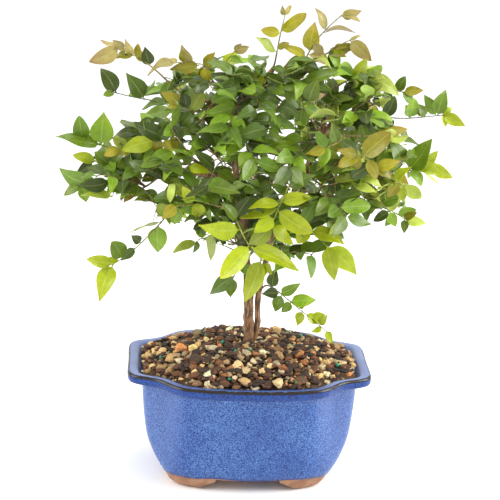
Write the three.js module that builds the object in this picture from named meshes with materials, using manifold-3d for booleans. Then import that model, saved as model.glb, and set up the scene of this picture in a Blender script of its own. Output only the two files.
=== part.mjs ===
import * as THREE from "three";
import { mergeVertices } from "three/addons/utils/BufferGeometryUtils.js";
import Module from "manifold-3d";

// Jaboticaba bonsai growing in a glazed pot with four feet.
// Millimetres, +Z up. The pot's long side runs along X, its front faces -Y.
// Heights below count from a level 5 mm above the soles of the feet.

// Pot
const potHalfLength = 103.5;
const potHalfDepth = 78;
const potHeight = 94;
const footTop = 6;
const footBottom = -5;
const floorTop = 13;
const drainRadius = 7;
const drainSpacing = 62;
const fitGap = 0.4;

// Soil and gravel
const soilEdgeHeight = 89;
const soilHalfLength = 86;
const soilHalfDepth = 66.5;
const soilCrownHeight = 109;
const pebbleSpacing = 24;
const pebbleHalfLength = 9.8;

// Tree
const treeShift = [-2.4, 0, 2.8];
const treeSlant = 0.053;
const treeTilt = 0.0253;
const treeDip = 0.0222;
const treeLean = 0.0374;
const leanLevel = 190;
const trunkRadius = 5.6;
const trunkFoot = 80;
const twigRadius = 1.4;
const shootRadius = 1.1;
const shootTipRadius = 0.9;
const shootSteps = 3;
const buttGap = 0.5;
const bladeThickness = 0.7;
const bladeClearance = 0.35;
const bladeRatio = 0.42;
const pairLeafLength = 24;
const smallestLeaf = 15;
const weldLengths = [0.3, 0.24, 0.36, 0.18, 0.12, 0.06];
const mergeLengths = [0.0001, 0.001, 0.0023, 0.004];

const wasm = await Module();
wasm.setup();

const colours = {
  mature: 0x3f5e2b,
  mid: 0x5f8a35,
  fresh: 0x8fae66,
  lime: 0x9dbb3e,
  gold: 0xb9a24a,
  bronze: 0xa4744a,
};

// A repeatable number between 0 and 1 for any seed.
function chance(seed) {
  const wave = Math.sin(seed * 127.1 + 311.7) * 43758.5453;
  return wave - Math.floor(wave);
}

// A solid from a closed geometry, its collapsed triangles left out.
function solidOf(geometry) {
  geometry.deleteAttribute("normal");
  geometry.deleteAttribute("uv");
  const merged = mergeVertices(geometry, 1e-4);
  const corners = merged.index.array;
  const kept = [];
  for (let i = 0; i < corners.length; i += 3) {
    const [a, b, c] = [corners[i], corners[i + 1], corners[i + 2]];
    if (a !== b && b !== c && c !== a) kept.push(a, b, c);
  }
  const vertProperties = new Float32Array(merged.attributes.position.array);
  return new wasm.Manifold(new wasm.Mesh({ numProp: 3, vertProperties, triVerts: new Uint32Array(kept) }));
}

function geometryOf(solid) {
  const skin = solid.getMesh();
  const geometry = new THREE.BufferGeometry();
  geometry.setAttribute("position", new THREE.BufferAttribute(new Float32Array(skin.vertProperties), 3));
  geometry.setIndex(new THREE.BufferAttribute(new Uint32Array(skin.triVerts), 1));
  return geometry;
}

// True when every edge of the skin belongs to two triangles, however close points are merged.
function isPlain(solid) {
  return mergeLengths.every((length) => {
    const corners = mergeVertices(geometryOf(solid), length).index.array;
    const uses = new Map();
    for (let i = 0; i < corners.length; i += 3) {
      const [a, b, c] = [corners[i], corners[i + 1], corners[i + 2]];
      if (a === b || b === c || c === a) continue;
      for (const [from, to] of [[a, b], [b, c], [c, a]]) {
        const edge = Math.min(from, to) + " " + Math.max(from, to);
        uses.set(edge, (uses.get(edge) ?? 0) + 1);
      }
    }
    return [...uses.values()].every((count) => count === 2);
  });
}

// One body from many, without the sealed pockets that crossing blades can leave.
function joined(solids) {
  const union = wasm.Manifold.union(solids).asOriginal();
  const tries = weldLengths.map((length) => {
    const bodies = union.simplify(length).decompose();
    return bodies.reduce((best, body) => (body.volume() > best.volume() ? body : best));
  });
  return tries.find(isPlain) ?? tries[0];
}

function meshOf(name, solid, colour, roughness) {
  const geometry = geometryOf(solid);
  geometry.computeVertexNormals();
  const material = new THREE.MeshStandardMaterial({ color: colour, roughness, metalness: 0 });
  const mesh = new THREE.Mesh(geometry, material);
  mesh.name = name;
  return mesh;
}

// Pot outline seen from above, one quarter: bowed front, set-back corner, side lobe.
const outlineQuarter = [
  [0, 78], [30, 76.4], [52, 72.6], [62.3, 68], [76.3, 52.9], [83.5, 49], [97, 43.6], [103.3, 35.5],
];
const cornerFullness = [0, 0, 0.05, 0.35, 1, 1, 0.6, 0.25];

// One level ring of the pot; fullness swells its four corners.
function potRing(height, insetX, insetY, fullness = 0) {
  const scaleX = (potHalfLength - insetX) / potHalfLength;
  const scaleY = (potHalfDepth - insetY) / potHalfDepth;
  const quarter = outlineQuarter.map(([x, y], i) => {
    const swell = 1 + fullness * cornerFullness[i];
    return [x * scaleX * swell, y * scaleY * swell];
  });
  const back = quarter.slice(1).reverse();
  const end = potHalfLength * scaleX;
  const round = [
    [end, 0], ...back, ...quarter.map(([x, y]) => [-x, y]),
    [-end, 0], ...back.map(([x, y]) => [-x, -y]), ...quarter.map(([x, y]) => [x, -y]),
  ];
  return round.map(([x, y]) => new THREE.Vector3(x, y, height));
}

// A closed skin through level rings, each end closed round a centre point.
function loft(rings, bottomHeight, topHeight) {
  const count = rings[0].length;
  const positions = rings.flat().flatMap((p) => [p.x, p.y, p.z]);
  const bottom = positions.length / 3;
  positions.push(0, 0, bottomHeight, 0, 0, topHeight);
  const indices = [];
  const last = (rings.length - 1) * count;
  for (let i = 0; i < count; i += 1) {
    const next = (i + 1) % count;
    for (let level = 0; level < rings.length - 1; level += 1) {
      const a = level * count;
      indices.push(a + i, a + next, a + count + next, a + i, a + count + next, a + count + i);
    }
    indices.push(bottom, next, i, bottom + 1, last + i, last + next);
  }
  const geometry = new THREE.BufferGeometry();
  geometry.setAttribute("position", new THREE.Float32BufferAttribute(positions, 3));
  geometry.setIndex(indices);
  return solidOf(geometry);
}

// Body and lip: height, inset at the ends, inset at the front and back, corner fullness.
const potProfile = [
  [footTop, 37.2, 18, 0.24], [12, 33.2, 15.2, 0.22], [22, 26.2, 12.4, 0.16], [36, 19, 9.8, 0.08],
  [56, 14.9, 7.4, 0.03], [83, 12.2, 6, 0], [86, 1.2, 1.2, 0], [92.3, 0, 0, 0],
  [potHeight, 1.6, 1.6, 0],
];
const cavityProfile = [
  [floorTop, 38, 24, 0.1], [24, 32, 19, 0.07], [44, 25, 14.6, 0.02], [83, 19.5, 12, 0],
  [potHeight + 1, 9.6, 8.6, 0],
];

function makePot() {
  const body = loft(potProfile.map((row) => potRing(...row)), footTop, potHeight);
  const cavity = loft(cavityProfile.map((row) => potRing(...row)), floorTop, potHeight + 1);
  const skirtRings = [
    potRing(footBottom, 45, 22.3, 0.22), potRing(-2, 41.6, 20, 0.23), potRing(footTop + 0.5, 37.4, 18.2, 0.24),
  ];
  const skirt = loft(skirtRings, footBottom, footTop + 0.5);
  const hollow = loft([potRing(-8, 60, 39, 0.1), potRing(footTop, 56, 35, 0.1)], -8, footTop);
  const arch = new THREE.Shape();
  arch.moveTo(-53, -8);
  arch.lineTo(53, -8);
  arch.lineTo(39, -1.9);
  arch.lineTo(32.5, 0.8);
  arch.lineTo(27.5, 3.4);
  arch.lineTo(26.5, footTop);
  arch.lineTo(-26.5, footTop);
  arch.lineTo(-27.5, 3.4);
  arch.lineTo(-32.5, 0.8);
  arch.lineTo(-39, -1.9);
  const frontArch = new THREE.ExtrudeGeometry(arch, { depth: 180, bevelEnabled: false });
  frontArch.rotateX(Math.PI / 2);
  frontArch.translate(0, 90, 0);
  const sideArch = new THREE.ExtrudeGeometry(arch, { depth: 220, bevelEnabled: false });
  sideArch.rotateX(Math.PI / 2);
  sideArch.rotateZ(Math.PI / 2);
  sideArch.scale(1, 0.8, 1);
  sideArch.translate(-110, 0, 0);
  const feet = skirt.subtract(hollow).subtract(solidOf(frontArch)).subtract(solidOf(sideArch));
  let pot = body.add(feet).subtract(cavity);
  for (const side of [-1, 1]) {
    const drain = new THREE.CylinderGeometry(drainRadius, drainRadius, 20, 14);
    drain.rotateX(Math.PI / 2);
    drain.translate(side * drainSpacing / 2, 0, floorTop - 4);
    pot = pot.subtract(solidOf(drain));
  }
  return joined([pot]);
}

// The tree stands a little off the pot's middle, leans to the left and slants with depth.
function planted([x, y, z]) {
  const lean = treeSlant * y - treeLean * (z - leanLevel);
  const lift = treeTilt * x - treeDip * y;
  return new THREE.Vector3(x + treeShift[0] + lean, y + treeShift[1], z + treeShift[2] + lift);
}

// Height of the mounded soil, with reach 0 at the trunk and 1 at the pot wall.
function soilHeight(reach) {
  return soilCrownHeight - (soilCrownHeight - soilEdgeHeight) * reach ** 3;
}

function soilReach(x, y) {
  const across = Math.abs(x) / soilHalfLength;
  const deep = Math.abs(y) / soilHalfDepth;
  return Math.max(Math.hypot(across, deep) * 0.86, across, deep, (across + deep) / 1.62);
}

function makeSoil() {
  const inside = cavityProfile.map(([z, insetX, insetY, fullness], level) => (
    potRing(level ? z : z + fitGap, insetX + fitGap, insetY + fitGap, fullness)
  ));
  const rings = inside.slice(0, 4);
  for (const reach of [1, 0.84, 0.6]) {
    const insetX = potHalfLength - soilHalfLength * reach;
    const insetY = potHalfDepth - soilHalfDepth * reach;
    rings.push(potRing(soilHeight(reach), insetX, insetY));
  }
  let soil = loft(rings, floorTop + fitGap, soilCrownHeight);
  const trunk = planted(limbs[0].points[0]);
  const rows = Math.ceil(potHalfDepth / (pebbleSpacing * 0.87));
  const columns = Math.ceil(potHalfLength / pebbleSpacing);
  const pebbles = [];
  for (let row = -rows; row <= rows; row += 1) {
    for (let column = -columns; column <= columns; column += 1) {
      const seed = (row + 20) * 60 + column + 30;
      const shift = (row & 1) * 0.5;
      const x = (column + shift + (chance(seed) - 0.5) * 0.35) * pebbleSpacing;
      const y = (row + (chance(seed + 0.3) - 0.5) * 0.35) * pebbleSpacing * 0.87;
      if (soilReach(x, y) > 0.89 || Math.hypot(x - trunk.x, y - trunk.y) < 14) continue;
      const size = pebbleHalfLength * (0.8 + 0.4 * chance(seed + 0.5));
      const pebble = chance(seed + 0.7) > 0.2 ? new THREE.OctahedronGeometry(1) : new THREE.DodecahedronGeometry(0.85);
      pebble.scale(size, size * (0.75 + 0.2 * chance(seed + 0.8)), size * 0.62);
      pebble.rotateX((chance(seed + 0.9) - 0.5) * 0.7);
      pebble.rotateZ(chance(seed + 0.1) * Math.PI);
      pebble.translate(x, y, soilHeight(soilReach(x, y)) - 0.6);
      pebbles.push(solidOf(pebble));
    }
  }
  inside.push(inside[4].map((point) => point.clone().setZ(potHeight + 20)));
  soil = joined([soil, ...pebbles]).intersect(loft(inside, floorTop + fitGap, potHeight + 20));
  const well = new THREE.CylinderGeometry(trunkRadius + 0.8, trunkRadius + 0.8, 60, 16);
  well.rotateX(Math.PI / 2);
  well.translate(trunk.x, trunk.y, trunk.z - fitGap + 30);
  return joined([soil.subtract(solidOf(well))]);
}

// Curves of stems pass through their points at even steps.
function stemCurve(points) {
  const curve = new THREE.CatmullRomCurve3(points.map(planted));
  curve.curveType = "catmullrom";
  return curve;
}

// The axis of a stem made of straight steps between two places on a curve.
function stemAxis(curve, from, to, steps, place) {
  const walked = Math.min(place, 0.97) * steps;
  const step = Math.floor(walked);
  const near = curve.getPoint(from + (to - from) * step / steps);
  const far = curve.getPoint(from + (to - from) * (step + 1) / steps);
  return near.lerp(far, walked - step);
}

// A tapered stem between two places on a curve, its ends flat.
function stemGeometry(curve, from, to, startRadius, endRadius, sides, steps) {
  const geometry = new THREE.CylinderGeometry(1, 1, 1, sides, steps);
  const frames = [];
  let side = new THREE.Vector3(0.83, 0.55, 0.1);
  for (let step = 0; step <= steps; step += 1) {
    const place = from + (to - from) * step / steps;
    const along = curve.getTangent(place);
    side = side.clone().addScaledVector(along, -side.dot(along)).normalize();
    const other = new THREE.Vector3().crossVectors(side, along);
    const radius = startRadius + (endRadius - startRadius) * step / steps;
    frames.push({ centre: curve.getPoint(place), side, other, radius });
  }
  const position = geometry.attributes.position;
  for (let i = 0; i < position.count; i += 1) {
    const frame = frames[Math.round((position.getY(i) + 0.5) * steps)];
    const point = frame.centre.clone();
    point.addScaledVector(frame.side, position.getX(i) * frame.radius);
    point.addScaledVector(frame.other, position.getZ(i) * frame.radius);
    position.setXYZ(i, point.x, point.y, point.z);
  }
  return geometry;
}

// Trunk, second stem and main limbs, seen from the front of the tree.
const limbs = [
  { radii: [trunkRadius, 3.2], sides: 9, steps: 4,
    points: [[-0.2, 2, trunkFoot], [-0.1, 2, 96], [-0.5, 2, 114], [-0.9, 1, 138], [-1, 0, 162]] },
  { radii: [3.2, 1.8], sides: 6, steps: 9,
    points: [[-1, 0, 161], [-4, -1, 190], [-5, 0, 220], [-9, 1, 245], [-13, 2, 268], [-14, 3, 290],
      [-10, 3, 312], [0, 2, 322], [10, 0, 332], [19, -4, 345]] },
  { radii: [2.3, 1.7], sides: 6, steps: 10,
    points: [[2.2, 2, 105], [6.4, 1, 122], [7.4, 1, 148], [14, 0, 180], [22, -4, 208], [34, -7, 236],
      [46, -8, 258], [56, -6, 280], [64, -4, 296], [75, -4, 304], [80, -4, 306]] },
  { radii: [2.2, 1.4], sides: 4, steps: 4,
    points: [[-9, 1, 245], [-28, -2, 254], [-50, -3, 257], [-74, 0, 255]] },
  { radii: [2, 1.3], sides: 4, steps: 3,
    points: [[-10, 3, 312], [-28, 4, 316], [-50, 4, 317]] },
  { radii: [2, 1.5], sides: 4, steps: 3,
    points: [[56, -6, 280], [61, -1, 300], [66, 4, 318]] },
  { radii: [1.9, 1.4], sides: 4, steps: 3,
    points: [[10, 0, 332], [24, 2, 338], [38, 3, 344]] },
  { radii: [1.9, 1.3], sides: 4, steps: 4,
    points: [[46, -8, 258], [64, -18, 262], [84, -26, 262], [102, -28, 260]] },
  { radii: [1.9, 1.3], sides: 4, steps: 3,
    points: [[34, -7, 236], [56, -16, 240], [80, -24, 239]] },
  { radii: [1.9, 1.3], sides: 4, steps: 3,
    points: [[-13, 2, 268], [-20, 30, 280], [-28, 55, 288]] },
  { radii: [1.9, 1.3], sides: 4, steps: 3,
    points: [[46, -8, 258], [52, 22, 268], [60, 50, 276]] },
  { radii: [2.2, 1.4], sides: 4, steps: 4,
    points: [[-5, 0, 220], [0, 25, 235], [8, 50, 246], [12, 75, 252]] },
];

// Shoots. stem: points from a limb outwards, leafy from point number `leafy` on.
// leaves: [place along the leafy part, picture angle, length, width seen, tone].
// pairs: opposite pairs by rule from the inner end up to place `until`.
const shoots = [
  { stem: [[-50, 4, 317], [-66, 4, 332], [-80, 4, 345], [-95, 4, 355], [-107, 4, 361]], leafy: 2,
    leaves: [[1, 205, 27, 10, "bronze"], [0.96, 177, 17, 6, "bronze"], [0.5, 183, 15, 6, "gold"],
      [0.55, 150, 11, 4, "gold"], [0.5, 122, 15, 4, "bronze"], [0.2, 126, 13, 7, "gold"],
      [0.05, 122, 16, 9, "mature"]] },
  { stem: [[-10, 3, 312], [-24, 0, 326], [-31, -6, 337], [-38, -8, 349], [-61, -8, 351]], leafy: 2,
    leaves: [[1, 202, 26, 10, "bronze"], [0.55, 189, 24, 9, "gold"], [0.95, 150, 7, 4, "bronze"],
      [0.7, 128, 17, 4, "bronze"], [0.5, 262, 19, 7, "gold"], [0.45, 285, 19, 7, "gold"],
      [0.4, 60, 15, 7, "gold"]] },
  { stem: [[-50, 4, 317], [-60, 8, 315], [-86, 10, 317], [-113, 10, 323]], leafy: 1,
    leaves: [[0.95, 124, 24, 12, "mature"], [0.52, 127, 26, 13, "mature"], [0.12, 182, 24, 7, "mature"],
      [0.2, 70, 18, 10, "mature"], [0.99, 190, 10, 5, "mid"]] },
  { stem: [[-50, -3, 257], [-66, -10, 270], [-81, -14, 279], [-107, -14, 280], [-138, -14, 288]], leafy: 2,
    leaves: [[0.75, 168, 38, 11, "mid"], [0.74, 85, 27, 17, "mid"], [1, 98, 21, 12, "mature"],
      [0.4, 140, 14, 9, "gold"], [0.2, 235, 17, 9, "mature"]] },
  { stem: [[-74, 0, 255], [-86, 0, 258], [-104, 0, 261], [-132, 0, 267]], leafy: 1,
    leaves: [[0.92, 166, 20, 8, "lime"], [1, 200, 17, 8, "mature"], [0.74, 138, 16, 11, "mid"],
      [0.66, 65, 17, 12, "mid"], [0.4, 60, 18, 13, "mid"], [0.66, 252, 11, 8, "mid"],
      [0.15, 110, 18, 9, "mature"], [0.2, 260, 16, 8, "mid"]] },
  { stem: [[-74, 0, 255], [-84, -6, 248], [-93, -10, 246], [-116, -10, 252], [-142, -10, 248]], leafy: 2,
    leaves: [[1, 213, 16, 9, "mid"], [0.9, 276, 16, 9, "mid"], [0.5, 184, 25, 10, "mature"],
      [0.66, 170, 36, 8, "mature"], [0.15, 238, 15, 5, "mature"], [0.02, 212, 17, 9, "gold"]] },
  { stem: [[-50, -3, 257], [-60, -18, 240], [-71, -30, 224], [-95, -30, 199], [-114, -30, 185]], leafy: 2,
    leaves: [[0.02, 196, 28, 5, "fresh"], [0.08, 256, 26, 14, "mid"], [0.4, 140, 10, 7, "mature"],
      [0.76, 120, 17, 13, "mid"], [1, 171, 23, 10, "lime"], [0.97, 251, 33, 15, "lime"],
      [0.84, 172, 11, 6, "lime"], [0.5, 222, 16, 6, "mature"]] },
  { stem: [[-4, -1, 190], [-14, -12, 200], [-28, -20, 212], [-45, -20, 202]], leafy: 1,
    leaves: [[1, 198, 22, 8, "fresh"], [0.95, 256, 11, 4, "mature"], [0.6, 266, 28, 9, "fresh"],
      [0.85, 108, 12, 5, "mature"], [0.75, 135, 13, 9, "mid"], [0.3, 120, 17, 9, "mature"]] },
  { stem: [[-28, -2, 254], [-36, -28, 268], [-45, -43, 275], [-55, -46, 268], [-61, -45, 259]], leafy: 2,
    leaves: [[1, 258, 17, 5, "fresh"], [0.2, 350, 19, 9, "lime"], [0.9, 294, 17, 11, "lime"],
      [0.5, 165, 19, 9, "mature"], [0.1, 120, 20, 9, "mid"]] },
  { stem: [[-28, -2, 254], [-30, -30, 250], [-34, -52, 247], [-46, -62, 245], [-59, -62, 244]], leafy: 2,
    leaves: [[1, 219, 16, 9, "gold"], [0.95, 261, 17, 9, "mid"], [0.5, 315, 14, 10, "lime"],
      [0.3, 20, 20, 9, "mature"], [0.5, 120, 16, 9, "lime"], [0.1, 250, 22, 10, "mature"]] },
  { stem: [[34, -7, 236], [37, -35, 258], [35, -64, 268], [24, -74, 248], [17, -73, 229]], leafy: 2,
    leaves: [[0.5, 185, 26, 9, "lime"], [0.48, 14, 25, 11, "lime"], [0.58, 200, 33, 11, "lime"],
      [0.63, 331, 33, 14, "lime"], [0.98, 219, 23, 12, "fresh"], [1, 322, 24, 12, "lime"],
      [0.8, 199, 20, 11, "lime"], [0.15, 150, 24, 10, "mid"], [0.2, 30, 24, 10, "mid"]] },
  { stem: [[-5, 0, 220], [-11, -32, 240], [-13, -70, 242], [-2, -83, 219], [13, -82, 201]], leafy: 2,
    leaves: [[0.3, 178, 34, 11, "lime"], [0.6, 336, 45, 17, "lime"], [0.57, 230, 36, 15, "lime"],
      [0.88, 251, 38, 15, "lime"], [1, 262, 13, 6, "lime"], [0.99, 300, 12, 6, "lime"],
      [0.1, 40, 22, 9, "mature"], [0.15, 130, 20, 9, "mid"]] },
  { stem: [[22, -4, 208], [30, -30, 224], [40, -56, 230], [51, -61, 221], [63, -60, 209]], leafy: 2,
    leaves: [[0.42, 342, 29, 12, "lime"], [0.97, 285, 29, 12, "lime"], [1, 316, 38, 15, "lime"],
      [0.38, 227, 15, 10, "lime"], [0.15, 60, 22, 10, "mature"], [0.2, 20, 24, 10, "mature"]] },
  { stem: [[7.4, 1, 152], [17, -9, 160], [39, -12, 143], [68, -12, 118]], leafy: 1,
    leaves: [[0.2, 166, 15, 8, "mature"], [0.22, 35, 19, 8, "mid"], [0.25, 253, 19, 9, "mid"],
      [0.4, 4, 23, 10, "mid"], [0.42, 225, 12, 7, "mid"], [0.55, 50, 10, 6, "lime"],
      [0.6, 254, 14, 8, "lime"], [0.66, 318, 18, 8, "lime"], [0.86, 60, 12, 6, "lime"],
      [0.05, 80, 17, 9, "mature"]] },
  { stem: [[-4, -1, 190], [-5, -9, 186], [-9, -14, 179], [-14, -16, 169]], leafy: 1,
    leaves: [[0.9, 222, 28, 12, "mature"], [0.3, 197, 16, 9, "mature"], [1, 265, 20, 9, "mid"],
      [0.5, 330, 15, 7, "mature"]] },
  { stem: [[56, -16, 240], [68, -29, 244], [84, -33, 244], [95, -32, 237]], leafy: 1,
    leaves: [[1, 280, 15, 7, "mature"], [0.95, 350, 17, 8, "mid"], [0.5, 250, 18, 9, "mature"],
      [0.55, 70, 18, 9, "mid"], [0.15, 110, 20, 9, "mature"], [0.2, 290, 19, 9, "mature"]] },
  { stem: [[80, -24, 239], [92, -30, 245], [106, -34, 241], [116, -34, 231]], leafy: 1,
    leaves: [[0.6, 25, 15, 12, "mature"], [1, 293, 14, 8, "mid"], [0.95, 215, 16, 7, "mature"],
      [0.4, 250, 17, 8, "mid"], [0.15, 95, 17, 9, "mature"]] },
  { stem: [[80, -24, 239], [98, -14, 233], [111, -9, 229], [122, -8, 224], [131, -8, 218]], leafy: 2,
    leaves: [[1, 345, 20, 5, "fresh"], [0.6, 11, 17, 7, "mid"], [0.9, 30, 13, 7, "gold"],
      [0.5, 240, 15, 7, "mid"], [0.98, 268, 12, 6, "mid"]] },
  { stem: [[84, -26, 262], [98, -38, 265], [108, -43, 264], [117, -44, 261], [126, -44, 255]], leafy: 2,
    leaves: [[1, 330, 17, 10, "fresh"], [0.7, 238, 15, 9, "gold"], [0.5, 40, 18, 8, "lime"],
      [0.95, 270, 13, 6, "lime"], [0.1, 110, 18, 9, "mid"]] },
  { stem: [[102, -28, 260], [112, -18, 261], [123, -13, 262], [139, -12, 262], [152, -12, 268]], leafy: 2,
    leaves: [[1, 325, 23, 8, "lime"], [0.75, 50, 17, 8, "lime"], [0.5, 30, 18, 7, "lime"],
      [0.62, 343, 18, 8, "fresh"], [0.6, 334, 26, 4, "fresh"], [0.3, 315, 17, 8, "mid"],
      [0.28, 62, 32, 18, "mid"]] },
  { stem: [[84, -26, 262], [96, -48, 268], [102, -60, 274], [95, -66, 282], [85, -66, 287]], leafy: 2,
    leaves: [[0.85, 207, 20, 9, "gold"], [0.95, 245, 15, 8, "gold"], [0.6, 300, 18, 9, "gold"],
      [0.1, 18, 20, 9, "gold"], [0.12, 330, 16, 8, "gold"], [0.8, 47, 31, 15, "gold"],
      [1, 165, 18, 8, "gold"], [0.3, 215, 22, 10, "mature"]] },
  { stem: [[102, -28, 260], [111, -30, 262], [119, -31, 266], [127, -30, 272]], leafy: 1,
    leaves: [[0.85, 118, 24, 15, "mid"], [0.45, 318, 18, 7, "gold"], [1, 60, 14, 7, "mid"],
      [0.3, 170, 18, 9, "mature"]] },
  { stem: [[64, -18, 262], [75, -29, 275], [83, -34, 283], [93, -36, 288], [102, -36, 293]], leafy: 2,
    leaves: [[1, 24, 28, 10, "gold"], [0.97, 350, 24, 9, "lime"], [0.05, 170, 13, 9, "gold"],
      [0.5, 100, 17, 9, "mid"], [0.4, 290, 17, 8, "mature"]] },
  { stem: [[75, -4, 304], [88, -4, 308], [125, -4, 304], [162, -4, 307]], leafy: 1,
    leaves: [[0.34, 70, 19, 10, "mature"], [0.22, 325, 20, 12, "mature"], [0.6, 84, 18, 12, "mid"],
      [0.9, 123, 20, 7, "mid"], [0.92, 78, 22, 11, "mid"], [1, 338, 21, 9, "lime"],
      [0.99, 40, 11, 6, "lime"], [0.97, 292, 10, 5, "lime"], [0.26, 128, 17, 9, "gold"],
      [0.4, 262, 14, 7, "mature"], [0.05, 75, 20, 9, "mature"]] },
  { stem: [[66, 4, 318], [80, 7, 323], [106, 8, 325], [129, 8, 324]], leafy: 1,
    leaves: [[1, 5, 18, 7, "gold"], [0.95, 320, 16, 8, "mature"], [0.6, 120, 20, 10, "mature"],
      [0.62, 300, 18, 9, "mature"], [0.25, 60, 22, 10, "mid"], [0.25, 250, 20, 9, "mature"],
      [0.85, 65, 15, 8, "mature"]] },
  { stem: [[66, 4, 318], [67, -7, 328], [74, -13, 334], [85, -14, 339], [98, -14, 341]], leafy: 2,
    leaves: [[1, 40, 14, 8, "mid"], [0.99, 333, 29, 13, "fresh"], [0.85, 355, 15, 6, "fresh"],
      [0.5, 64, 20, 10, "lime"], [0.48, 155, 21, 9, "mature"], [0.2, 290, 20, 9, "mature"],
      [0.6, 280, 17, 8, "mid"]] },
  { stem: [[38, 3, 344], [52, 6, 350], [62, 8, 355], [72, 7, 362], [83, 6, 368]], leafy: 2,
    leaves: [[1, 317, 26, 9, "bronze"], [0.5, 0, 16, 5, "gold"], [0.05, 187, 20, 9, "gold"],
      [0.3, 275, 16, 8, "mature"], [0.97, 30, 10, 4, "bronze"], [0.2, 300, 16, 8, "mid"]] },
  { stem: [[38, 3, 344], [46, -2, 354], [53, -3, 367], [64, -1, 379], [75, 0, 389]], leafy: 1,
    leaves: [[0.02, 150, 22, 8, "gold"], [0.12, 66, 26, 13, "gold"], [0.28, 318, 11, 7, "bronze"],
      [0.6, 112, 20, 7, "bronze"], [0.55, 8, 26, 5, "bronze"], [1, 14, 18, 6, "bronze"],
      [0.98, 344, 17, 5, "bronze"]] },
  { stem: [[10, 0, 332], [19, -4, 346], [22, -4, 358], [25, -4, 374], [29, -4, 391]], leafy: 2,
    leaves: [[0.03, 144, 22, 7, "fresh"], [0.1, 30, 12, 5, "gold"], [0.52, 168, 16, 8, "gold"],
      [0.54, 34, 25, 5, "gold"], [0.93, 108, 9, 3, "bronze"], [0.95, 58, 9, 3, "bronze"]] },
  { stem: [[0, 2, 322], [5, -12, 327], [11, -19, 334], [14, -20, 342]], leafy: 1,
    leaves: [[1, 142, 20, 8, "mature"], [0.95, 333, 36, 8, "fresh"], [0.1, 326, 25, 12, "mid"],
      [0.5, 200, 17, 9, "mid"], [0.3, 100, 15, 8, "lime"]] },
  { stem: [[-10, 3, 312], [-14, 6, 327], [-21, 6, 345], [-12, 4, 359]], leafy: 1,
    leaves: [[0.95, 18, 14, 5, "bronze"], [0.8, 340, 12, 5, "mid"], [0.5, 50, 17, 11, "lime"],
      [0.35, 8, 19, 7, "mid"], [0.15, 160, 18, 9, "mature"], [1, 50, 9, 4, "bronze"]] },
  { stem: [[-28, 4, 316], [-42, -14, 302], [-54, -27, 297], [-66, -30, 293], [-77, -30, 290]], leafy: 2,
    leaves: [[1, 199, 29, 10, "lime"], [0.8, 250, 13, 8, "gold"], [0.6, 290, 13, 8, "gold"],
      [0.35, 300, 15, 10, "gold"], [0.55, 172, 29, 12, "mature"], [0.92, 125, 19, 9, "mature"],
      [0.84, 80, 19, 9, "mature"]] },
  { stem: [[-28, 4, 316], [-38, -10, 312], [-48, -20, 313], [-56, -22, 320]], leafy: 1,
    leaves: [[1, 149, 18, 8, "gold"], [0.98, 195, 13, 6, "gold"], [0.5, 62, 21, 12, "fresh"],
      [0.4, 230, 17, 9, "mature"], [0.7, 100, 16, 8, "mature"]] },
  { stem: [[64, -4, 296], [72, -28, 300], [76, -48, 298], [70, -58, 295], [61, -59, 291]], leafy: 2,
    leaves: [[1, 197, 18, 9, "gold"], [0.9, 250, 18, 9, "mid"], [0.5, 110, 18, 9, "mid"],
      [0.4, 330, 18, 9, "mature"], [0.95, 130, 16, 8, "mature"]] },
  { stem: [[10, 0, 332], [24, -20, 323], [34, -33, 318], [42, -40, 319], [48, -41, 325]], leafy: 2,
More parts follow.
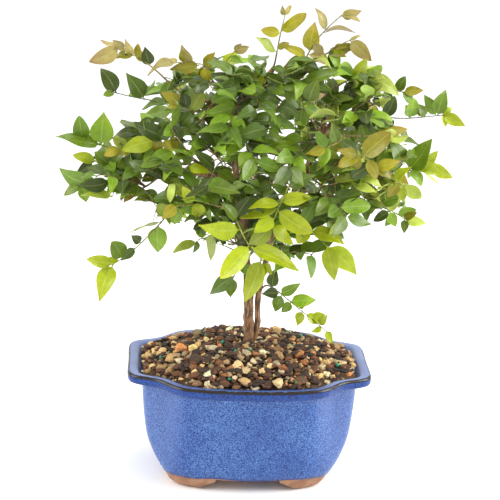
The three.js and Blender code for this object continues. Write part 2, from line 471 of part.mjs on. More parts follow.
    leaves: [[1, 28, 15, 6, "bronze"], [0.95, 74, 20, 12, "mid"], [0.5, 270, 18, 9, "mid"],
      [0.4, 140, 18, 9, "mature"], [0.6, 340, 19, 9, "mature"]] },
  { stem: [[-13, 2, 268], [-20, -18, 272], [-26, -38, 272], [-30, -54, 268], [-33, -66, 261]], leafy: 2, pairs: 3 },
  { stem: [[-14, 3, 290], [-10, -18, 293], [-5, -38, 293], [0, -52, 288], [5, -64, 281]], leafy: 1, pairs: 4 },
  { stem: [[56, -6, 280], [52, -24, 285], [46, -40, 287], [38, -54, 284], [31, -66, 277]], leafy: 2, pairs: 3 },
  { stem: [[46, -8, 258], [56, -28, 255], [63, -44, 250], [71, -56, 243], [78, -64, 235]], leafy: 2, pairs: 3 },
  { stem: [[0, 2, 322], [-7, -14, 320], [-13, -30, 314], [-17, -44, 305]], leafy: 1, pairs: 3 },
  { stem: [[75, -4, 304], [82, -17, 311], [90, -29, 313], [100, -37, 311]], leafy: 1, pairs: 3 },
  { stem: [[24, 2, 338], [30, -9, 338], [36, -20, 335], [44, -28, 338]], leafy: 1, pairs: 3 },
  { stem: [[14, 0, 180], [26, -16, 190], [38, -30, 196], [52, -38, 196]], leafy: 1, pairs: 3 },
  { stem: [[-28, 55, 288], [-40, 66, 293], [-54, 76, 296], [-68, 84, 296]], leafy: 1, pairs: 3 },
  { stem: [[-28, 55, 288], [-25, 70, 294], [-19, 84, 298], [-14, 98, 298]], leafy: 1, pairs: 3 },
  { stem: [[-20, 30, 280], [-40, 35, 282], [-58, 40, 284], [-77, 45, 285], [-95, 47, 282]], leafy: 2, pairs: 3 },
  { stem: [[60, 50, 276], [72, 61, 280], [85, 71, 283], [97, 80, 283]], leafy: 1, pairs: 3 },
  { stem: [[60, 50, 276], [56, 66, 285], [50, 81, 291], [45, 95, 293]], leafy: 1, pairs: 3 },
  { stem: [[52, 22, 268], [74, 27, 273], [94, 31, 277], [113, 35, 280], [131, 37, 280]], leafy: 2, pairs: 3 },
  { stem: [[12, 75, 252], [12, 89, 256], [15, 102, 259], [18, 114, 259]], leafy: 1, pairs: 3 },
  { stem: [[8, 50, 246], [-10, 58, 246], [-30, 66, 241], [-49, 71, 234]], leafy: 1, pairs: 3 },
  { stem: [[8, 50, 246], [25, 58, 242], [44, 63, 236], [62, 66, 230]], leafy: 1, pairs: 3 },
  { stem: [[10, 0, 332], [8, 20, 337], [4, 36, 342], [-1, 52, 344], [-6, 67, 342]], leafy: 2, pairs: 3 },
  { stem: [[38, 3, 344], [44, 22, 342], [49, 38, 341], [55, 54, 336], [61, 68, 329]], leafy: 2, pairs: 3 },
  { stem: [[-50, 4, 317], [-59, 19, 319], [-70, 33, 321], [-84, 45, 320]], leafy: 1, pairs: 3 },
  { stem: [[14, 0, 180], [17, 14, 187], [16, 29, 192], [12, 43, 194]], leafy: 1, pairs: 3 },
  { stem: [[34, -7, 236], [43, 7, 236], [51, 20, 232], [57, 32, 225]], leafy: 1, pairs: 3 },
];

// One leaf: six points above and six below, folded along the midrib.
function bladeSolid(leaf, grown) {
  const { base, along, normal, length, width, fold } = leaf;
  const side = new THREE.Vector3().crossVectors(normal, along);
  const half = width / 2;
  const reach = length + grown * 2;
  const plan = [
    [0, 0], [0.3, -half - grown], [0.66, -half * 0.8 - grown], [reach / length, 0],
    [0.66, half * 0.8 + grown], [0.3, half + grown],
  ];
  const positions = [];
  for (const layer of [1, -1]) {
    for (const [place, across] of plan) {
      const rise = Math.abs(across) * fold + layer * (bladeThickness / 2 + grown);
      const point = base.clone().addScaledVector(along, place * length);
      point.addScaledVector(side, across).addScaledVector(normal, rise);
      positions.push(point.x, point.y, point.z);
    }
  }
  const indices = [];
  for (const [a, b, c] of [[0, 1, 2], [0, 2, 3], [0, 3, 4], [0, 4, 5]]) {
    indices.push(a, b, c, a + 6, c + 6, b + 6);
  }
  for (let i = 0; i < 6; i += 1) {
    const next = (i + 1) % 6;
    indices.push(i, i + 6, next + 6, i, next + 6, next);
  }
  const geometry = new THREE.BufferGeometry();
  geometry.setAttribute("position", new THREE.Float32BufferAttribute(positions, 3));
  geometry.setIndex(indices);
  return solidOf(geometry);
}

// Turns a leaf a little further each time it has to clear its neighbours.
const turnsTried = [[0, 0], [14, 10], [-14, -12], [26, -22], [-26, 24], [44, 14], [-44, -16], [0, 40]];

function turnedLeaf(leaf, turns) {
  const [swing, lift] = turns.map((degrees) => THREE.MathUtils.degToRad(degrees));
  const side = new THREE.Vector3().crossVectors(leaf.normal, leaf.along);
  const along = leaf.along.clone().applyAxisAngle(side, lift).applyAxisAngle(leaf.normal, swing);
  const normal = leaf.normal.clone().applyAxisAngle(side, lift);
  normal.addScaledVector(along, -normal.dot(along)).normalize();
  return { ...leaf, along, normal };
}

function shapedLeaf(base, along, face, roll, length, width, seed) {
  const normal = face.clone().addScaledVector(along, -face.dot(along)).normalize();
  normal.applyAxisAngle(along, roll);
  const fold = 0.1 + 0.28 * chance(seed + 0.21);
  return { base, along, normal, length, width, fold };
}

// A leaf set by hand: it lies near the picture plane, and rolls to show its width.
function handLeaf(shoot, number, seed) {
  const [place, angle, length, seen] = shoot.leaves[number];
  const base = stemAxis(shoot.curve, shoot.start, 1, shootSteps, place);
  const slope = THREE.MathUtils.degToRad(angle);
  const lean = (chance(seed) - 0.55) * 0.5;
  const along = new THREE.Vector3(Math.cos(slope), Math.sin(lean), Math.sin(slope)).normalize();
  const face = new THREE.Vector3((chance(seed + 0.5) - 0.5) * 0.5, -0.85, 0.55);
  const width = Math.max(seen, length * bladeRatio);
  const roll = Math.acos(Math.min(1, seen / width)) * (chance(seed + 0.7) > 0.4 ? 1 : -1);
  return shapedLeaf(base, along, face, roll * 0.9, length, width, seed);
}

// A leaf set by rule: half of an opposite pair, spread flat, tip outwards.
function pairLeaf(curve, from, steps, place, hand, size, seed) {
  const base = stemAxis(curve, from, 1, steps, place);
  const stem = curve.getTangent(from + (1 - from) * place);
  const up = new THREE.Vector3(0, -0.25, 1).addScaledVector(stem, -stem.z).normalize();
  const side = new THREE.Vector3().crossVectors(stem, up).multiplyScalar(hand);
  const along = stem.clone().multiplyScalar(0.45 + 0.5 * chance(seed + 0.1)).add(side);
  along.z += (chance(seed + 0.2) - 0.55) * 0.9;
  along.y += (chance(seed + 0.4) - 0.5) * 0.5;
  along.normalize();
  const face = up.clone().addScaledVector(side, (chance(seed + 0.5) - 0.5) * 0.9);
  face.y -= 0.5 * chance(seed + 0.6);
  const length = size * (0.8 + 0.45 * chance(seed + 0.8));
  return shapedLeaf(base, along, face, (chance(seed + 0.9) - 0.5) * 0.8, length, length * bladeRatio, seed);
}

const standing = [];

function isClear(solid, ignored) {
  const { min, max } = solid.boundingBox();
  return standing.every((other) => {
    if (ignored(other)) return true;
    if ([0, 1, 2].some((axis) => min[axis] > other.max[axis] || max[axis] < other.min[axis])) return true;
    return other.solid.intersect(solid).isEmpty();
  });
}

function stand(solid, owner) {
  const { min, max } = solid.boundingBox();
  standing.push({ solid, owner, min, max });
}

function addLeaf(shoot, leaf) {
  for (const turns of turnsTried) {
    const tried = turnedLeaf(leaf, turns);
    const outer = { ...tried, length: tried.length * 0.7 };
    outer.base = tried.base.clone().addScaledVector(tried.along, tried.length * 0.3);
    const clear = isClear(bladeSolid(tried, bladeClearance), (other) => other.owner === shoot.name)
      && isClear(bladeSolid(outer, 0), (other) => other.owner !== shoot.name);
    if (clear) {
      const solid = bladeSolid(tried, 0);
      shoot.solids.push(solid);
      stand(solid, shoot.name);
      return;
    }
  }
}

function makeWood() {
  const parts = limbs.map(({ points, radii, sides, steps }) => (
    solidOf(stemGeometry(stemCurve(points), 0, 1, radii[0], radii[1], sides, steps))
  ));
  for (const shoot of shoots) {
    const end = shoot.start - shoot.gap;
    parts.push(solidOf(stemGeometry(shoot.curve, 0, end, twigRadius, shootRadius, 3, 2)));
  }
  return joined(parts);
}

// Lays out every shoot, then its hand-set leaves, then the leaves by rule.
shoots.forEach((shoot, index) => {
  shoot.name = `spray_${String(index + 1).padStart(2, "0")}`;
  shoot.curve = stemCurve(shoot.stem);
  shoot.start = shoot.leafy / (shoot.stem.length - 1);
  const inner = shoot.curve.getPoint(shoot.start - 0.02);
  shoot.gap = 0.02 * buttGap / inner.distanceTo(shoot.curve.getPoint(shoot.start));
  shoot.solids = [];
});

const wood = makeWood();
stand(wood, "wood");

for (const shoot of shoots) {
  const stem = solidOf(stemGeometry(shoot.curve, shoot.start, 1, shootRadius, shootTipRadius, 3, shootSteps));
  shoot.solids.push(stem);
  stand(stem, shoot.name);
}

shoots.forEach((shoot, index) => {
  (shoot.leaves ?? []).forEach(([, , length, , tone], number) => {
    if (length < smallestLeaf && tone !== "bronze") return;
    addLeaf(shoot, handLeaf(shoot, number, index * 40 + number + 1));
  });
});

shoots.forEach((shoot, index) => {
  if (!shoot.pairs) return;
  for (let pair = 0; pair < shoot.pairs; pair += 1) {
    const place = (pair + 0.6) / (shoot.pairs - 0.4);
    const seed = 9000 + index * 40 + pair * 2;
    const { curve, start } = shoot;
    addLeaf(shoot, pairLeaf(curve, start, shootSteps, place, 1, pairLeafLength, seed));
    addLeaf(shoot, pairLeaf(curve, start, shootSteps, place, -1, pairLeafLength, seed + 1));
  }
});

const bonsai = new THREE.Group();
const tree = new THREE.Group();
bonsai.add(meshOf("pot", makePot(), 0x4a6fb8, 0.3));
bonsai.add(meshOf("soil", makeSoil(), 0x8a7358, 0.95));
tree.add(meshOf("wood", wood, 0x7a5a3c, 0.85));
for (const shoot of shoots) {
  const tone = shoot.leaves ? shoot.leaves[0][4] : "mid";
  tree.add(meshOf(shoot.name, joined(shoot.solids), colours[tone], 0.5));
}
bonsai.add(tree);

// The origin is at the middle of the whole plant's footprint, where the feet stand.
const extent = new THREE.Box3().setFromObject(bonsai);
bonsai.position.set(-(extent.min.x + extent.max.x) / 2, -(extent.min.y + extent.max.y) / 2, -extent.min.z);

export default bonsai;
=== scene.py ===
import math
import random
import bmesh
import bpy
from mathutils import Matrix, Vector, kdtree, noise


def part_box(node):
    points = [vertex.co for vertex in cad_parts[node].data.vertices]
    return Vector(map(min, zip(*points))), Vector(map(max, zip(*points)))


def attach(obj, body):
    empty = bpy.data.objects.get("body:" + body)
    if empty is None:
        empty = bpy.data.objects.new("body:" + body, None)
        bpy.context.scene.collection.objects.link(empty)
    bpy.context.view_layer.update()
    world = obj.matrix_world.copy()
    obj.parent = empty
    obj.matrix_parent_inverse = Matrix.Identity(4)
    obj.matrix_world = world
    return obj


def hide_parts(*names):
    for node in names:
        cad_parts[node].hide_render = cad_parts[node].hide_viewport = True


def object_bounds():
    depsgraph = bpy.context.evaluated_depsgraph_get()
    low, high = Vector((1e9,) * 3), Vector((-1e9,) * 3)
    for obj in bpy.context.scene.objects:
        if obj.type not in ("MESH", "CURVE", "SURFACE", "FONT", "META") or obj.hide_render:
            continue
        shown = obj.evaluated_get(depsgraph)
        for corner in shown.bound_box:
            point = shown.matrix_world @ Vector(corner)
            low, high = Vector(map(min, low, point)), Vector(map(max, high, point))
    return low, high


# A young jaboticaba bonsai in a blue glazed pot. Shapes are worked out in millimetres round
# the pot's middle and put into the frame, in metres, when each mesh is finished.
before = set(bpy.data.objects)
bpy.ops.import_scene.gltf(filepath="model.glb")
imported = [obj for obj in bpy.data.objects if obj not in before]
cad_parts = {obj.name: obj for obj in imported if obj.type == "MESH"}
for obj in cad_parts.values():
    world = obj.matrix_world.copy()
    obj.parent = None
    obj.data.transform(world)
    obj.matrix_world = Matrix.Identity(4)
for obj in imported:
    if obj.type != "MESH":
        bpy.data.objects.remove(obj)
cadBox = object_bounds()
potLow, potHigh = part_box("pot")
soleDrop = 5
rowShift = Vector((potLow.x + potHigh.x, potLow.y + potHigh.y, 0)) * 500 + Vector((0, 0, soleDrop))
toMetres = Matrix.Scale(0.001, 4) @ Matrix.Translation(rowShift)


# A repeatable number between 0 and 1 for any seed
def chance(seed):
    wave = math.sin(seed * 127.1 + 311.7) * 43758.5453
    return wave - math.floor(wave)


def mixed(low, high, share):
    return low + (high - low) * share


def clamped(value, low=0, high=1):
    return min(max(value, low), high)


# sRGB numbers from 0 to 255 as the linear colour that a shader takes
def colour(red, green, blue, strength=1.0):
    parts = [min(1.0, value / 255 * strength) for value in (red, green, blue)]
    return [p / 12.92 if p <= 0.04045 else ((p + 0.055) / 1.055) ** 2.4 for p in parts] + [1.0]


# Node helpers: a value that is a socket is linked, any other is set
def addNode(tree, kind, settings=None, **values):
    node = tree.nodes.new(kind)
    for name, value in (settings or {}).items():
        setattr(node, name, value)
    for name, value in values.items():
        feed(tree, node.inputs[name.replace("_", " ")], value)
    return node


def feed(tree, socket, value):
    if isinstance(value, bpy.types.NodeSocket):
        tree.links.new(value, socket)
    else:
        socket.default_value = value


def mixColours(tree, factor, first, second, blend="MIX"):
    node = tree.nodes.new("ShaderNodeMix")
    node.data_type = "RGBA"
    node.blend_type = blend
    for index, value in ((0, factor), (6, first), (7, second)):
        feed(tree, node.inputs[index], value)
    return node.outputs[2]


def calculate(tree, operation, first, second=0.5, third=0.5):
    node = tree.nodes.new("ShaderNodeMath")
    node.operation = operation
    for socket, value in zip(node.inputs, (first, second, third)):
        feed(tree, socket, value)
    return node.outputs[0]


def rampMask(tree, value, low, high):
    return addNode(tree, "ShaderNodeMapRange", {"interpolation_type": "SMOOTHSTEP"}, Value=value,
                   From_Min=low, From_Max=high).outputs[0]


def newMaterial(name, roughness):
    material = bpy.data.materials.new(name)
    material.use_nodes = True
    tree = material.node_tree
    shader = tree.nodes["Principled BSDF"]
    shader.inputs["Roughness"].default_value = roughness
    return material, tree, shader


def addBump(tree, shader, height, strength, distance):
    bump = addNode(tree, "ShaderNodeBump", None, Height=height, Strength=strength, Distance=distance)
    tree.links.new(bump.outputs[0], shader.inputs["Normal"])


def attributeColour(tree, name):
    return addNode(tree, "ShaderNodeAttribute", {"attribute_name": name}).outputs["Color"]


# Uneven patches on Object coordinates, used by every finish: a soft-edged noise mask
def makePatchGroup():
    group = bpy.data.node_groups.new("unevenPatches", "ShaderNodeTree")
    entries = {"Scale": 100.0, "Detail": 2.0, "Low": 0.4, "High": 0.6, "Warp": 0.0, "Stretch": (1, 1, 1)}
    for name, value in entries.items():
        kind = "NodeSocketVector" if name == "Stretch" else "NodeSocketFloat"
        group.interface.new_socket(name, in_out="INPUT", socket_type=kind).default_value = value
    group.interface.new_socket("Mask", in_out="OUTPUT", socket_type="NodeSocketFloat")
    entry = group.nodes.new("NodeGroupInput").outputs
    place = addNode(group, "ShaderNodeTexCoord").outputs["Object"]
    stretched = addNode(group, "ShaderNodeVectorMath", {"operation": "MULTIPLY"})
    group.links.new(place, stretched.inputs[0])
    group.links.new(entry["Stretch"], stretched.inputs[1])
    cloud = addNode(group, "ShaderNodeTexNoise", None, Vector=stretched.outputs[0], Scale=entry["Scale"],
                    Detail=entry["Detail"], Distortion=entry["Warp"])
    mask = rampMask(group, cloud.outputs["Fac"], entry["Low"], entry["High"])
    group.links.new(mask, group.nodes.new("NodeGroupOutput").inputs["Mask"])
    return group


patchGroup = makePatchGroup()


def patches(tree, scale, low=0.4, high=0.6, detail=2.0, warp=0.0, stretch=(1, 1, 1)):
    node = tree.nodes.new("ShaderNodeGroup")
    node.node_tree = patchGroup
    entries = {"Scale": scale, "Detail": detail, "Low": low, "High": high, "Warp": warp, "Stretch": stretch}
    for name, value in entries.items():
        node.inputs[name].default_value = value
    return node.outputs["Mask"]


def addObject(name, data):
    added = bpy.data.objects.new(name, data)
    bpy.context.scene.collection.objects.link(added)
    return added


# The object of a shape worked out in millimetres, put into the frame
def addShape(name, bm):
    mesh = bpy.data.meshes.new(name)
    bmesh.ops.transform(bm, matrix=toMetres, verts=bm.verts)
    bm.normal_update()
    bm.to_mesh(mesh)
    bm.free()
    return addObject(name, mesh)


def finishPiece(name, bm, materials, replaced=()):
    piece = addShape(name, bm)
    for material in materials:
        piece.data.materials.append(material)
    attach(piece, "root")
    if replaced:
        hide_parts(*replaced)
    return piece


# An empty mesh whose corners carry a tint, and the layer that holds it
def newTintedMesh():
    bm = bmesh.new()
    return bm, bm.verts.layers.float_color.new("tint")


def smoothFaces(bm):
    for face in bm.faces:
        face.smooth = True


# A level ring of points as a loop of edges, ready to be bridged
def addRing(bm, points, capped=False):
    made = bmesh.ops.create_circle(bm, cap_ends=capped, segments=len(points), radius=1)
    for vert, point in zip(made["verts"], points):
        vert.co = point
    return made["verts"]


def bridgeRings(bm, first, second):
    wanted = set(first) | set(second)
    edges = {edge for vert in wanted for edge in vert.link_edges if edge.other_vert(vert) in wanted}
    loops = [edge for edge in edges if (edge.verts[0] in first) == (edge.verts[1] in first)]
    return bmesh.ops.bridge_loops(bm, edges=loops)["faces"]


# Smooth curves through hand-set points, at even steps from point to point
def curvePoint(points, place):
    last = len(points) - 1
    walked = clamped(place) * last
    index = min(int(walked), last - 1)
    share = walked - index
    near, far = points[index], points[index + 1]
    before = points[index - 1] if index else near * 2 - far
    after = points[index + 2] if index + 2 <= last else far * 2 - near
    leave, arrive = (far - before) * 0.5, (after - near) * 0.5
    bend = far * 3 - near * 3 - leave * 2 - arrive
    turn = near * 2 - far * 2 + leave + arrive
    return near + leave * share + bend * share ** 2 + turn * share ** 3


def curveTangent(points, place):
    near, far = max(0, place - 0.0001), min(1, place + 0.0001)
    return (curvePoint(points, far) - curvePoint(points, near)).normalized()


# The pot: outline seen from above, one quarter, and rows of height, inset at the ends,
# inset front and back and corner fullness. The last three numbers of a row are how far
# the glaze there is a brown edge, pale lip top (a painted reflection) or deep blue lip band.
pot = {
    "halfLength": 103.5,
    "halfDepth": 78,
    "quarter": [(0, 78), (30, 76.4), (52, 72.6), (62.3, 68), (76.3, 52.9), (83.5, 49), (97, 43.6),
                (103.3, 35.5)],
    "cornerFullness": [0, 0, 0.05, 0.35, 1, 1, 0.6, 0.25],
    "ringPoints": 168,
    "softening": 2,
    "underside": (5.98, 42, 22, 0.24, 0, 0, 0),
    "bodyRows": [(6, 37.2, 18, 0.24), (12, 33.2, 15.2, 0.22), (22, 26.2, 12.4, 0.16), (36, 19, 9.8, 0.08),
                 (56, 14.9, 7.4, 0.03), (83, 12.2, 6, 0)],
    "bodySteps": 4,
    "lipRows": [(83.9, 10.6, 5.2, 0, 0.5, 0, 0.4), (84.8, 7, 3.6, 0, 0.1, 0, 1),
                (85.5, 2.6, 1.8, 0, 0, 0, 1), (86.3, 0.9, 0.8, 0, 0, 0, 1), (87.6, 0.2, 0.2, 0, 0, 0, 1),
                (90.6, 0, 0, 0, 0, 0, 1), (92.2, 0.2, 0.2, 0, 0.75, 0, 0.8), (93.2, 0.8, 0.8, 0, 1, 0, 0.3),
                (93.8, 1.7, 1.7, 0, 0.5, 0.5, 0), (94, 3, 2.9, 0, 0, 1, 0), (93.8, 6, 5.4, 0, 0, 1, 0),
                (93.3, 8.2, 7.4, 0, 0.1, 1, 0), (92.2, 9.6, 8.6, 0, 0.3, 0.8, 0),
                (90, 11.2, 9.7, 0, 0, 0.6, 0)],
    "innerRows": [(83, 19.5, 12), (44, 25, 14.6), (24, 32, 19), (13, 38, 24)],
    "innerSteps": 12,
    "innerFullness": 0.1,
    "innerFullBelow": 50,
    # Past these the body turns paler: a painted reflection of the lights
    "paintedLightFrom": 54,
    "paintedSideReflection": 0.24,
    # At the front the lip top turns from painted reflection to painted shade
    "paintedShadeFrom": 52,
    "paintedShadeFront": 0.85,
    "zoneFade": 14,
    "drainRadius": 7,
    "drainSides": 24,
    "drainSpacing": 62,
    "drillLength": 20,
    "drillMiddle": 9,
    "footTop": 6,
    "footOverlap": 0.0006,
    "footSoftness": 0.0022,
}


# One quarter mirrored into a whole outline, inset and swelled at its corners
def outlinePoints(insetX, insetY, fullness):
    scaleX = (pot["halfLength"] - insetX) / pot["halfLength"]
    scaleY = (pot["halfDepth"] - insetY) / pot["halfDepth"]
    quarter = [(x * scaleX * (1 + fullness * full), y * scaleY * (1 + fullness * full))
               for (x, y), full in zip(pot["quarter"], pot["cornerFullness"])]
    back = quarter[:0:-1]
    end = pot["halfLength"] * scaleX
    return ([(end, 0)] + back + [(-x, y) for x, y in quarter]
            + [(-end, 0)] + [(-x, -y) for x, y in back] + [(x, -y) for x, y in quarter])


def potRing(height, insetX, insetY, fullness=0):
    corners = [Vector((x, y, height)) for x, y in outlinePoints(insetX, insetY, fullness)]
    dense = []
    for i in range(len(corners)):
        around = [corners[(i + step) % len(corners)] for step in (-1, 0, 1, 2)]
        dense += [curvePoint(around, (1 + step / 8) / 3) for step in range(8)]
    ring = evenRing(dense, pot["ringPoints"])
    for _ in range(pot["softening"]):
        ring = [(ring[i - 1] + ring[i] * 2 + ring[(i + 1) % len(ring)]) / 4 for i in range(len(ring))]
    return ring


# The same closed outline with its points at even distances
def evenRing(points, count):
    closed = points + points[:1]
    lengths = [(b - a).length for a, b in zip(closed, closed[1:])]
    spacing = sum(lengths) / count
    ring, index, passed = [], 0, 0
    for i in range(count):
        while index < len(lengths) - 1 and passed + lengths[index] < i * spacing:
            passed += lengths[index]
            index += 1
        ring.append(closed[index].lerp(closed[index + 1], (i * spacing - passed) / lengths[index]))
    return ring


# The glaze: pairs are the dark and light of its mottling; it runs down to bare clay at the feet
glazeLook = {
    "mottle": (1150, 0.43, 0.59, 1.0, 0.9),
    "blue": ((6, 46, 120), (86, 128, 184)),
    "deepBlue": ((2, 37, 108), (66, 106, 170)),
    "bandBlue": ((0, 20, 76), (10, 72, 156)),
    # Painted reflection: the lavender laid on the lip top and past the body's corners
    "reflectionLavender": ((106, 122, 168), (124, 140, 182)),
    "clay": ((140, 100, 76), (172, 130, 101)),
    "freckle": (0, 36, 120),
    "brownEdge": (34, 27, 24),
    "glazeHemDark": (34, 38, 100),
    "glazeHemDepth": 0.0016,
    "glazeHemShare": 0.65,
    "runHeight": 0.0121,
    "runWander": -0.0014,
    "clayRoughness": 0.85,
    "specular": 0.38,
}


def makeGlaze():
    material, tree, shader = newMaterial("blueGlaze", 0.16)
    fine = patches(tree, *glazeLook["mottle"])
    broad = patches(tree, 24, 0.3, 0.7, 3.0)

    def mottled(name, mask=fine):
        return mixColours(tree, mask, *[colour(*shade) for shade in glazeLook[name]])

    freckles = calculate(tree, "MULTIPLY", patches(tree, 1700, 0.6, 0.72, 1.0), 0.3)
    blue = mixColours(tree, broad, mottled("blue"), mottled("deepBlue"))
    blue = mixColours(tree, freckles, blue, colour(*glazeLook["freckle"]))
    zones = attributeColour(tree, "glazeZones")
    brown, pale, band = addNode(tree, "ShaderNodeSeparateColor", None, Color=zones).outputs
    # The band channel is the lip band's own deeper blue, and painted shade on the front of the lip top
    blue = mixColours(tree, band, blue, mottled("bandBlue"))
    # The pale channel is a painted reflection, lavender laid over the blue
    blue = mixColours(tree, pale, blue, mottled("reflectionLavender", broad))
    ragged = calculate(tree, "ADD", patches(tree, 260, 0.2, 0.8, 3.0), 0.75)
    edge = rampMask(tree, calculate(tree, "MULTIPLY", brown, ragged), 0.3, 0.75)
    glazed = mixColours(tree, edge, blue, colour(*glazeLook["brownEdge"]))
    place = addNode(tree, "ShaderNodeTexCoord")
    height = addNode(tree, "ShaderNodeSeparateXYZ", None, Vector=place.outputs["Object"]).outputs["Z"]
    wander = patches(tree, 45, 0.3, 0.7)
    run = calculate(tree, "MULTIPLY_ADD", wander, glazeLook["runWander"], glazeLook["runHeight"])
    bare = rampMask(tree, calculate(tree, "SUBTRACT", run, height), -0.0004, 0.0004)
    clayTone = patches(tree, 160, 0.3, 0.7, 5.0)
    # A darker band of glaze just above where the glaze ends
    glazeHemTop = calculate(tree, "ADD", run, glazeLook["glazeHemDepth"])
    glazeHemDark = rampMask(tree, calculate(tree, "SUBTRACT", glazeHemTop, height), -0.001, 0.001)
    glazeHemDark = calculate(tree, "MULTIPLY", glazeHemDark, glazeLook["glazeHemShare"])
    glazed = mixColours(tree, glazeHemDark, glazed, colour(*glazeLook["glazeHemDark"]))
    feed(tree, shader.inputs["Base Color"], mixColours(tree, bare, glazed, mottled("clay", clayTone)))
    gloss = calculate(tree, "MULTIPLY_ADD", fine, 0.08, 0.1)
    rough = addNode(tree, "ShaderNodeMix", {"data_type": "FLOAT"})
    for index, value in ((0, bare), (2, gloss), (3, glazeLook["clayRoughness"])):
        feed(tree, rough.inputs[index], value)
    feed(tree, shader.inputs["Roughness"], rough.outputs[0])
    relief = calculate(tree, "ADD", fine, calculate(tree, "MULTIPLY", clayTone, bare))
    addBump(tree, shader, relief, 0.16, 0.0004)
    shader.inputs["Specular IOR Level"].default_value = glazeLook["specular"]
    return material


# Glaze zones at one point: the body is paler past its corners (painted reflection), the lip deeper at the
# front (painted shade)
def zonesAt(point, row):
    brown, pale, band = row[4:]
    if row[0] < pot["lipRows"][0][0]:
        beyond = clamped((abs(point.x) - pot["paintedLightFrom"]) / pot["zoneFade"])
        return brown, pale + pot["paintedSideReflection"] * beyond, band, 1
    # Painted shade: the front of the lip top takes the band's deep blue
    ahead = pot["paintedShadeFront"] * clamped((-point.y - pot["paintedShadeFrom"]) / pot["zoneFade"]) if pale > 0.5 else 0
    return brown, pale * (1 - ahead), band + ahead * (1 - band), 1


# Rows between the few that are given
def smoothRows(rows, steps, first=0):
    shapes = [Vector(row) for row in rows]
    return [tuple(curvePoint(shapes, step / steps)) for step in range(first, steps + 1)]


def makePot():
    bm = bmesh.new()
    zones = bm.verts.layers.float_color.new("glazeZones")
    body = smoothRows(pot["bodyRows"], (len(pot["bodyRows"]) - 1) * pot["bodySteps"])
    rows = [pot["underside"]] + [(*row, 0, 0, 0) for row in body] + pot["lipRows"]
    for row in smoothRows([pot["lipRows"][-1][:3]] + pot["innerRows"], pot["innerSteps"], 1):
        fullness = pot["innerFullness"] * max(0, 1 - row[0] / pot["innerFullBelow"])
        rows.append((*row, fullness, 0, 0, 0))
    rings = []
    for row in rows:
        ring = addRing(bm, potRing(*row[:4]), capped=row in (rows[0], rows[-1]))
        for vert in ring:
            vert[zones] = zonesAt(vert.co, row)
        rings.append(ring)
    for lower, upper in zip(rings, rings[1:]):
        bridgeRings(bm, lower, upper)
    smoothFaces(bm)
    bmesh.ops.recalc_face_normals(bm, faces=bm.faces)
    return finishPiece("potGlazed", bm, [glaze], ["pot"])


def drillDrains(piece):
    bm = bmesh.new()
    for side in (-1, 1):
        made = bmesh.ops.create_cone(bm, cap_ends=True, segments=pot["drainSides"], depth=pot["drillLength"],
                                     radius1=pot["drainRadius"], radius2=pot["drainRadius"])
        place = (side * pot["drainSpacing"] / 2, 0, pot["drillMiddle"])
        bmesh.ops.translate(bm, verts=made["verts"], vec=place)
    drill = addShape("drains", bm)
    cut = piece.modifiers.new("drains", "BOOLEAN")
    cut.object, cut.operation, cut.solver = drill, "DIFFERENCE", "EXACT"
    bpy.context.view_layer.update()
    evaluated = piece.evaluated_get(bpy.context.evaluated_depsgraph_get())
    drilled = bpy.data.meshes.new_from_object(evaluated)
    piece.modifiers.clear()
    piece.data = drilled
    bpy.data.objects.remove(drill)


# The feet are cut from a copy of the solid pot, below the bottom of its body
def makeFeet():
    bm = bmesh.new()
    bm.from_mesh(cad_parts["pot"].data)
    bmesh.ops.remove_doubles(bm, verts=bm.verts, dist=0.00001)
    top = (pot["footTop"] + soleDrop) * 0.001
    cut = bmesh.ops.bisect_plane(bm, geom=bm.verts[:] + bm.edges[:] + bm.faces[:], clear_outer=True,
                                 plane_co=(0, 0, top - 0.0001), plane_no=(0, 0, 1))
    rim = [edge for edge in cut["geom_cut"] if isinstance(edge, bmesh.types.BMEdge)]
    bmesh.ops.holes_fill(bm, edges=rim)
    for vert in bm.verts:
        if vert.co.z > top - 0.0002:
            vert.co.z = top + pot["footOverlap"]
    bmesh.ops.dissolve_limit(bm, angle_limit=math.radians(4), verts=bm.verts, edges=bm.edges)
    smoothFaces(bm)
    bmesh.ops.transform(bm, matrix=toMetres.inverted(), verts=bm.verts)
    feet = finishPiece("potFeet", bm, [glaze])
    softEdges = feet.modifiers.new("softEdges", "BEVEL")
    softEdges.width, softEdges.segments, softEdges.limit_method = pot["footSoftness"], 3, "ANGLE"
    softEdges.angle_limit = math.radians(30)
    return feet


glaze = makeGlaze()
drillDrains(makePot())
makeFeet()
print("pot made")

# The soil mound, higher in its middle, on which gravel, bark chips and feed prills lie
ground = {
    "edgeHeight": 91,
    "halfLength": 92,
    "halfDepth": 68.4,
    "crownHeight": 109,
    "roundness": 0.86,
    "cornerCut": 1.42,
    "rings": 22,
    "innermost": 0.985,
    "sink": 1.6,
    "bumpHeight": 1.5,
    "bumpScale": 0.16,
    "skirtInset": 0.86,
    "skirtDepth": 14,
    "trunkClearance": 8,
}


def soilHeight(reach):
    return ground["crownHeight"] - (ground["crownHeight"] - ground["edgeHeight"]) * reach ** 3


def soilReach(x, y):
    across = abs(x) / ground["halfLength"]
    deep = abs(y) / ground["halfDepth"]
    rounded = math.hypot(across, deep) * ground["roundness"]
    return max(rounded, across, deep, (across + deep) / ground["cornerCut"])


